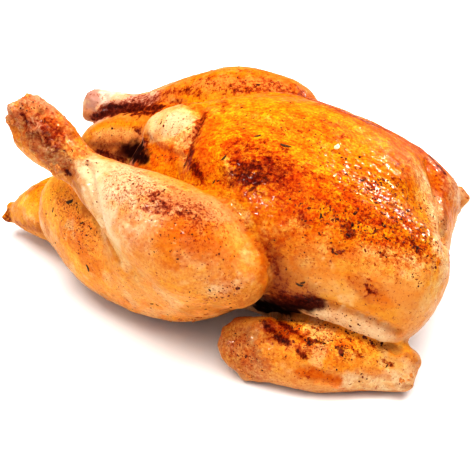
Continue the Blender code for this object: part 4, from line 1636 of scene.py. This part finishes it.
# Broad glazes on skin that is still pale after the strokes: (tone, patch in millimetres, seed)
GLAZES = [("golden", 8, 95), ("pale", 9, 97)]
GLAZE_SHARE = 0.40
GLAZE_RANGE = (0.15, 0.7)
PALE_GREEN = (0.222, 0.245)
# Brown tone and dark grain in the creases between members, partly browning and partly painted shade
GROOVE_BROWN_AND_SHADE = 0.6
GROOVE_GRAIN_AND_SHADE = 0.4


def ramp(value, stops):
    """Tone by value, blended between stops of (value, tone)."""
    levels = [s[0] for s in stops]
    colours = np.array([TONES[s[1]] for s in stops])
    return np.stack([np.interp(value, levels, colours[:, k]) for k in range(3)], axis=1)


def base_coat(skin):
    """The tone before any stroke: browned above, pale below, by member."""
    p, n = skin.points, skin.normals
    height = p[:, 2] / MM
    crust = (CRUST_FACING * n[:, 2] + (height - CRUST_MIDDLE) / CRUST_RANGE
             + CRUST_PATCHES * cloud(p, *CRUST_CLOUD))
    trunk = skin.of("trunk")
    legs = skin.of("near_leg", "far_leg")
    wings = skin.of("near_forearm", "far_forearm", "near_upper_arm", "far_upper_arm")
    tones = np.where(wings[:, None], ramp(crust + WING_CRUST, WING_TONES),
                     ramp(crust, BREAST_TONES))
    skin.tone = np.where(legs[:, None], ramp(crust, LEG_TONES), tones)
    skin.coat(trunk & (p[:, 0] < TAIL_START) & (height < TAIL_TOP), "golden", 0.8)
    skin.coat(1 - ease(height, *PALE_FOOT), "flesh", 0.5)
    burn = skin.layers["burn"]
    burn += TRUNK_GRAIN * trunk * ease(crust, *TRUNK_GRAIN_RANGE)
    burn += FAR_LEG_GRAIN * skin.of("far_leg") * ease(crust, *FAR_LEG_GRAIN_RANGE)
    burn += WING_GRAIN * wings + NEAR_LEG_GRAIN * skin.of("near_leg")
    hidden = np.einsum("ij,ij->i", p - np.array(skin.lens.place), n) > 0
    islands = cloud(p, *ISLANDS) + 0.6 * cloud(p, *ISLANDS_FINE)
    islands = ease(islands, *ISLANDS_RANGE) * (crust > 0.1) * hidden
    skin.coat(islands, "rust", 0.5)
    burn += ISLANDS_GRAIN * islands
    haze = ease(cloud(p, *HAZE), *HAZE_RANGE) * ease(crust, *HAZE_CRUST) * hidden
    skin.coat(haze, "amber", 0.6)
    burn += HAZE_GRAIN * haze
    places = {"hidden": hidden, "hidden_top": hidden & (crust > 0.3), "legs": legs,
              "trunk_top": trunk & (crust > 0.25)}
    for tone, amount, size, seed, low, high, along, where in PATCHES:
        patches = ease(cloud(p * np.array([along, 1.0, 1.0]), size, seed, 3), low, high)
        skin.coat(patches * places[where], tone, amount)


# Relief over the whole skin: (height, patch, seed, octaves), in millimetres
RELIEF = [(0.35, 17, 3, 2), (0.20, 4.5, 5, 3), (0.07, 1.9, 7, 2)]


def grooves_of(skin):
    """How deep in a crease between two members each vertex lies, from 0 to 1."""
    grooves = np.zeros(len(skin.points))
    for a, b in GROOVE_PAIRS:
        gap = (skin.reach[a] + skin.reach[b]) / GROOVE_WIDTH
        grooves = np.maximum(grooves, np.exp(-gap**2))
    return grooves


def relief(skin, grooves):
    for height, size, seed, octaves in RELIEF:
        skin.relief += height * MM * cloud(skin.points, size, seed, octaves)
    skin.relief -= GROOVE_DEPTH * grooves
    for path, width, height in FOLDS:
        skin.press(path, width, height)
    for k, (path, width, height, grain) in enumerate(ROUGH):
        skin.roughen(path, width, height, grain, ROUGH_SEED + k)


# Layers that steer the material: their value anywhere, and what is added to them in places:
# (amount, half width in millimetres, path)
LAYERS = {"crisp": 0.25, "pores": 0.10, "oil": 0.22, "pimply": 0.10}
AREAS = {
    "pores": [
        (0.75, 13, [(130, 182), (165, 200), (200, 215)]),
        (0.55, 8, [(60, 200), (75, 222), (90, 245)]),
        (0.55, 14, [(350, 190), (385, 212), (420, 235)]),
        (0.15, 12, [(300, 240), (350, 250), (400, 262)]),
        (0.35, 10, [(230, 335), (240, 352)]),
        (0.4, 7, [(280, 330), (330, 342), (380, 355)]),
        (0.3, 6, [(165, 125), (180, 128)]),
        (0.3, 9, [(200, 300), (235, 292)]),
    ],
    "crisp": [
        (0.6, 14, [(230, 150), (262, 170), (290, 190)]),
        (0.45, 16, [(320, 190), (360, 215), (400, 235)]),
        (0.6, 9, [(270, 328), (310, 336), (350, 346)]),
        (0.45, 10, [(228, 335), (236, 352), (255, 365)]),
        (0.6, 14, [(20, 110), (45, 130), (65, 155)]),
        (-0.3, 9, [(90, 100), (112, 95)]),
        (0.1, 8, [(65, 205), (80, 230)]),
        (-0.25, 8, [(86, 168), (94, 190), (104, 214), (116, 245)]),
        (-0.6, 12, [(160, 120), (176, 126), (168, 134)]),
        (-0.35, 16, [(300, 270), (350, 275), (400, 290)]),
        (-0.2, 8, [(315, 312), (345, 322), (380, 336)]),
    ],
    "burn": [
        (-0.35, 10, [(90, 100), (100, 96)]),
        (-0.25, 9, [(165, 122), (178, 128)]),
        (-0.1, 12, [(20, 108), (45, 130), (62, 152)]),
        (-0.08, 9, [(228, 335), (238, 352), (256, 366)]),
        (-0.05, 5, [(300, 328), (350, 342), (395, 355)]),
        (0.22, 16, [(360, 185), (395, 210), (415, 240)]),
        (-0.05, 10, [(62, 202), (80, 235)]),
        (0.12, 10, [(150, 195), (190, 212)]),
    ],
    "pimply": [
        (0.85, 15, [(350, 175), (385, 195), (410, 225)]),
        (0.5, 12, [(320, 150), (360, 165)]),
        (0.5, 9, [(240, 160), (262, 172)]),
        (0.6, 6, [(362, 286), (372, 292)]),
        (0.4, 12, [(140, 190), (190, 215)]),
        (0.5, 9, [(28, 118), (55, 145)]),
    ],
    "oil": [
        (0.44, 16, [(365, 180), (395, 205), (418, 235)]),
        (-0.3, 12, [(350, 125), (385, 140), (405, 155)]),
        (-0.5, 9, [(386, 126), (398, 144), (406, 162)]),
        (-0.2, 6, [(412, 216), (424, 230), (430, 240)]),
        (0.4, 12, [(230, 110), (290, 118)]),
        (0.8, 6, [(234, 205), (246, 218)]),
        (0.4, 8, [(45, 125), (58, 140)]),
        (0.4, 6, [(24, 204)]),
    ],
}
TRUNK_CRISP = 0.45
TRUNK_CRISP_HEIGHT = (50, 70)   # millimetres
TRUNK_PORES = 0.10
LOOSE_PORES = 0.15
LOOSE_PORES_CLOUD = (15, 91, 2)
LOOSE_PORES_RANGE = (0, 0.7)
# Distance from the near black of painted shade over which skin stops being dull
HOLLOW_SHADE_EDGE = (0.02, 0.12)
# Lining of the cavity, in millimetres: room round the cavity's sections, the range over which
# the wall fades out, and where along the body it begins, turns to painted shade and ends
LINING_ROOM = 2
LINING_EDGE = (0.95, 1.12)
LINING_START = (-100, -72)
LINING_DEEP = (-80, -56)
LINING_END = (-14, -8)
LINING_FRAY = 5
LINING_CLOUD = (9, 45, 2)


def inside_cavity(skin):
    """Which vertices line the body's cavity and which lie deep in it under painted shade, from 0 to
    1.
    """
    p = (skin.points - np.array(skin.lens.shift)) / MM
    stations = np.array(sorted(FORMS["cavity"]))
    y, z, wide, tall = (np.interp(p[:, 0], stations[:, 0], stations[:, k]) for k in range(1, 5))
    away = np.hypot((p[:, 1] - y) / (wide + LINING_ROOM), (p[:, 2] - z) / (tall + LINING_ROOM))
    walls = (1 - ease(away, *LINING_EDGE)) * skin.of("trunk")
    walls *= 1 - ease(p[:, 0], *LINING_END)
    along = p[:, 0] + LINING_FRAY * cloud(skin.points, *LINING_CLOUD)
    return walls * ease(along, *LINING_START), walls * ease(along, *LINING_DEEP)


def brown(skin, grooves):
    """All of the tone: base coat, strokes, glazes, creases with painted shade, and the lining of the
    cavity, painted near black as shade deep inside.
    """
    base_coat(skin)
    for k, stroke in enumerate(BROWNING):
        skin.paint(*stroke, seed=STROKE_SEED + k)
    fair = ease(skin.tone[:, 1], *PALE_GREEN)
    for tone, size, seed in GLAZES:
        patches = ease(cloud(skin.points, size, seed, 3), *GLAZE_RANGE)
        skin.coat(fair * patches, tone, GLAZE_SHARE)
    # Creases get brown tone and dark grain, partly painted shade.
    skin.coat(grooves, "brown", GROOVE_BROWN_AND_SHADE)
    skin.layers["burn"] += GROOVE_GRAIN_AND_SHADE * grooves
    # The lining is brown, and deep inside it the skin is painted near black as shade.
    lining, deep = inside_cavity(skin)
    skin.coat(lining, "brown", 0.9)
    skin.coat(deep, "hollow")


def surface_layers(skin):
    """The layers that steer the material, and dull skin without oil where shade is painted near
    black.
    """
    for name, base in LAYERS.items():
        skin.layer(name, base)
    trunk = skin.of("trunk", "keel_tip")
    crisp = ease(skin.points[:, 2] / MM, *TRUNK_CRISP_HEIGHT)
    skin.layers["crisp"] += TRUNK_CRISP * trunk * crisp
    loose = ease(cloud(skin.points, *LOOSE_PORES_CLOUD), *LOOSE_PORES_RANGE)
    skin.layers["pores"] += TRUNK_PORES * trunk + LOOSE_PORES * loose
    for name, areas in AREAS.items():
        for amount, width, path in areas:
            skin.add(name, amount, width, path)
    lighter = np.linalg.norm(skin.tone - np.array(TONES["hollow"]), axis=1)
    skin.layers["dull"] = 1 - ease(lighter, *HOLLOW_SHADE_EDGE)
    skin.layers["oil"] *= 1 - skin.layers["dull"]


def show(obj, material):
    obj.data.materials.clear()
    obj.data.materials.append(material)
    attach(obj, "root")


def placed(form):
    """Centres the form on the CAD's box, level with its top, and refines its mesh."""
    corners = points_of(form)
    low, high = corners.min(axis=0), corners.max(axis=0)
    cad_low, cad_high = np.array(cad_box[0]), np.array(cad_box[1])
    shift = (cad_low + cad_high) / 2 - (low + high) / 2
    shift[2] = cad_high[2] - high[2]
    form.data.transform(Matrix.Translation(shift))
    finer = form.modifiers.new("finer", "SUBSURF")
    finer.levels = 1
    finer.render_levels = 1
    applied(form)
    return shift


def build():
    form, trees = bird_form()
    lens = Lens(placed(form))
    skin = Skin(form, trees, lens)
    grooves = grooves_of(skin)
    relief(skin, grooves)
    skin.shape()
    brown(skin, grooves)
    surface_layers(skin)
    skin.store()
    form.data.polygons.foreach_set("use_smooth", [True] * len(form.data.polygons))
    show(form, skin_material())
    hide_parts(NODE)
    random = np.random.default_rng(SEASONING_SEED)
    for make, look in ((pepper, "pepper_look"), (herbs, "herb_look"), (salt, "salt_look"),
                       (shreds, "shred_look")):
        show(make(skin, random), crumb_material(look))
    studio()
    lens.camera()


build()
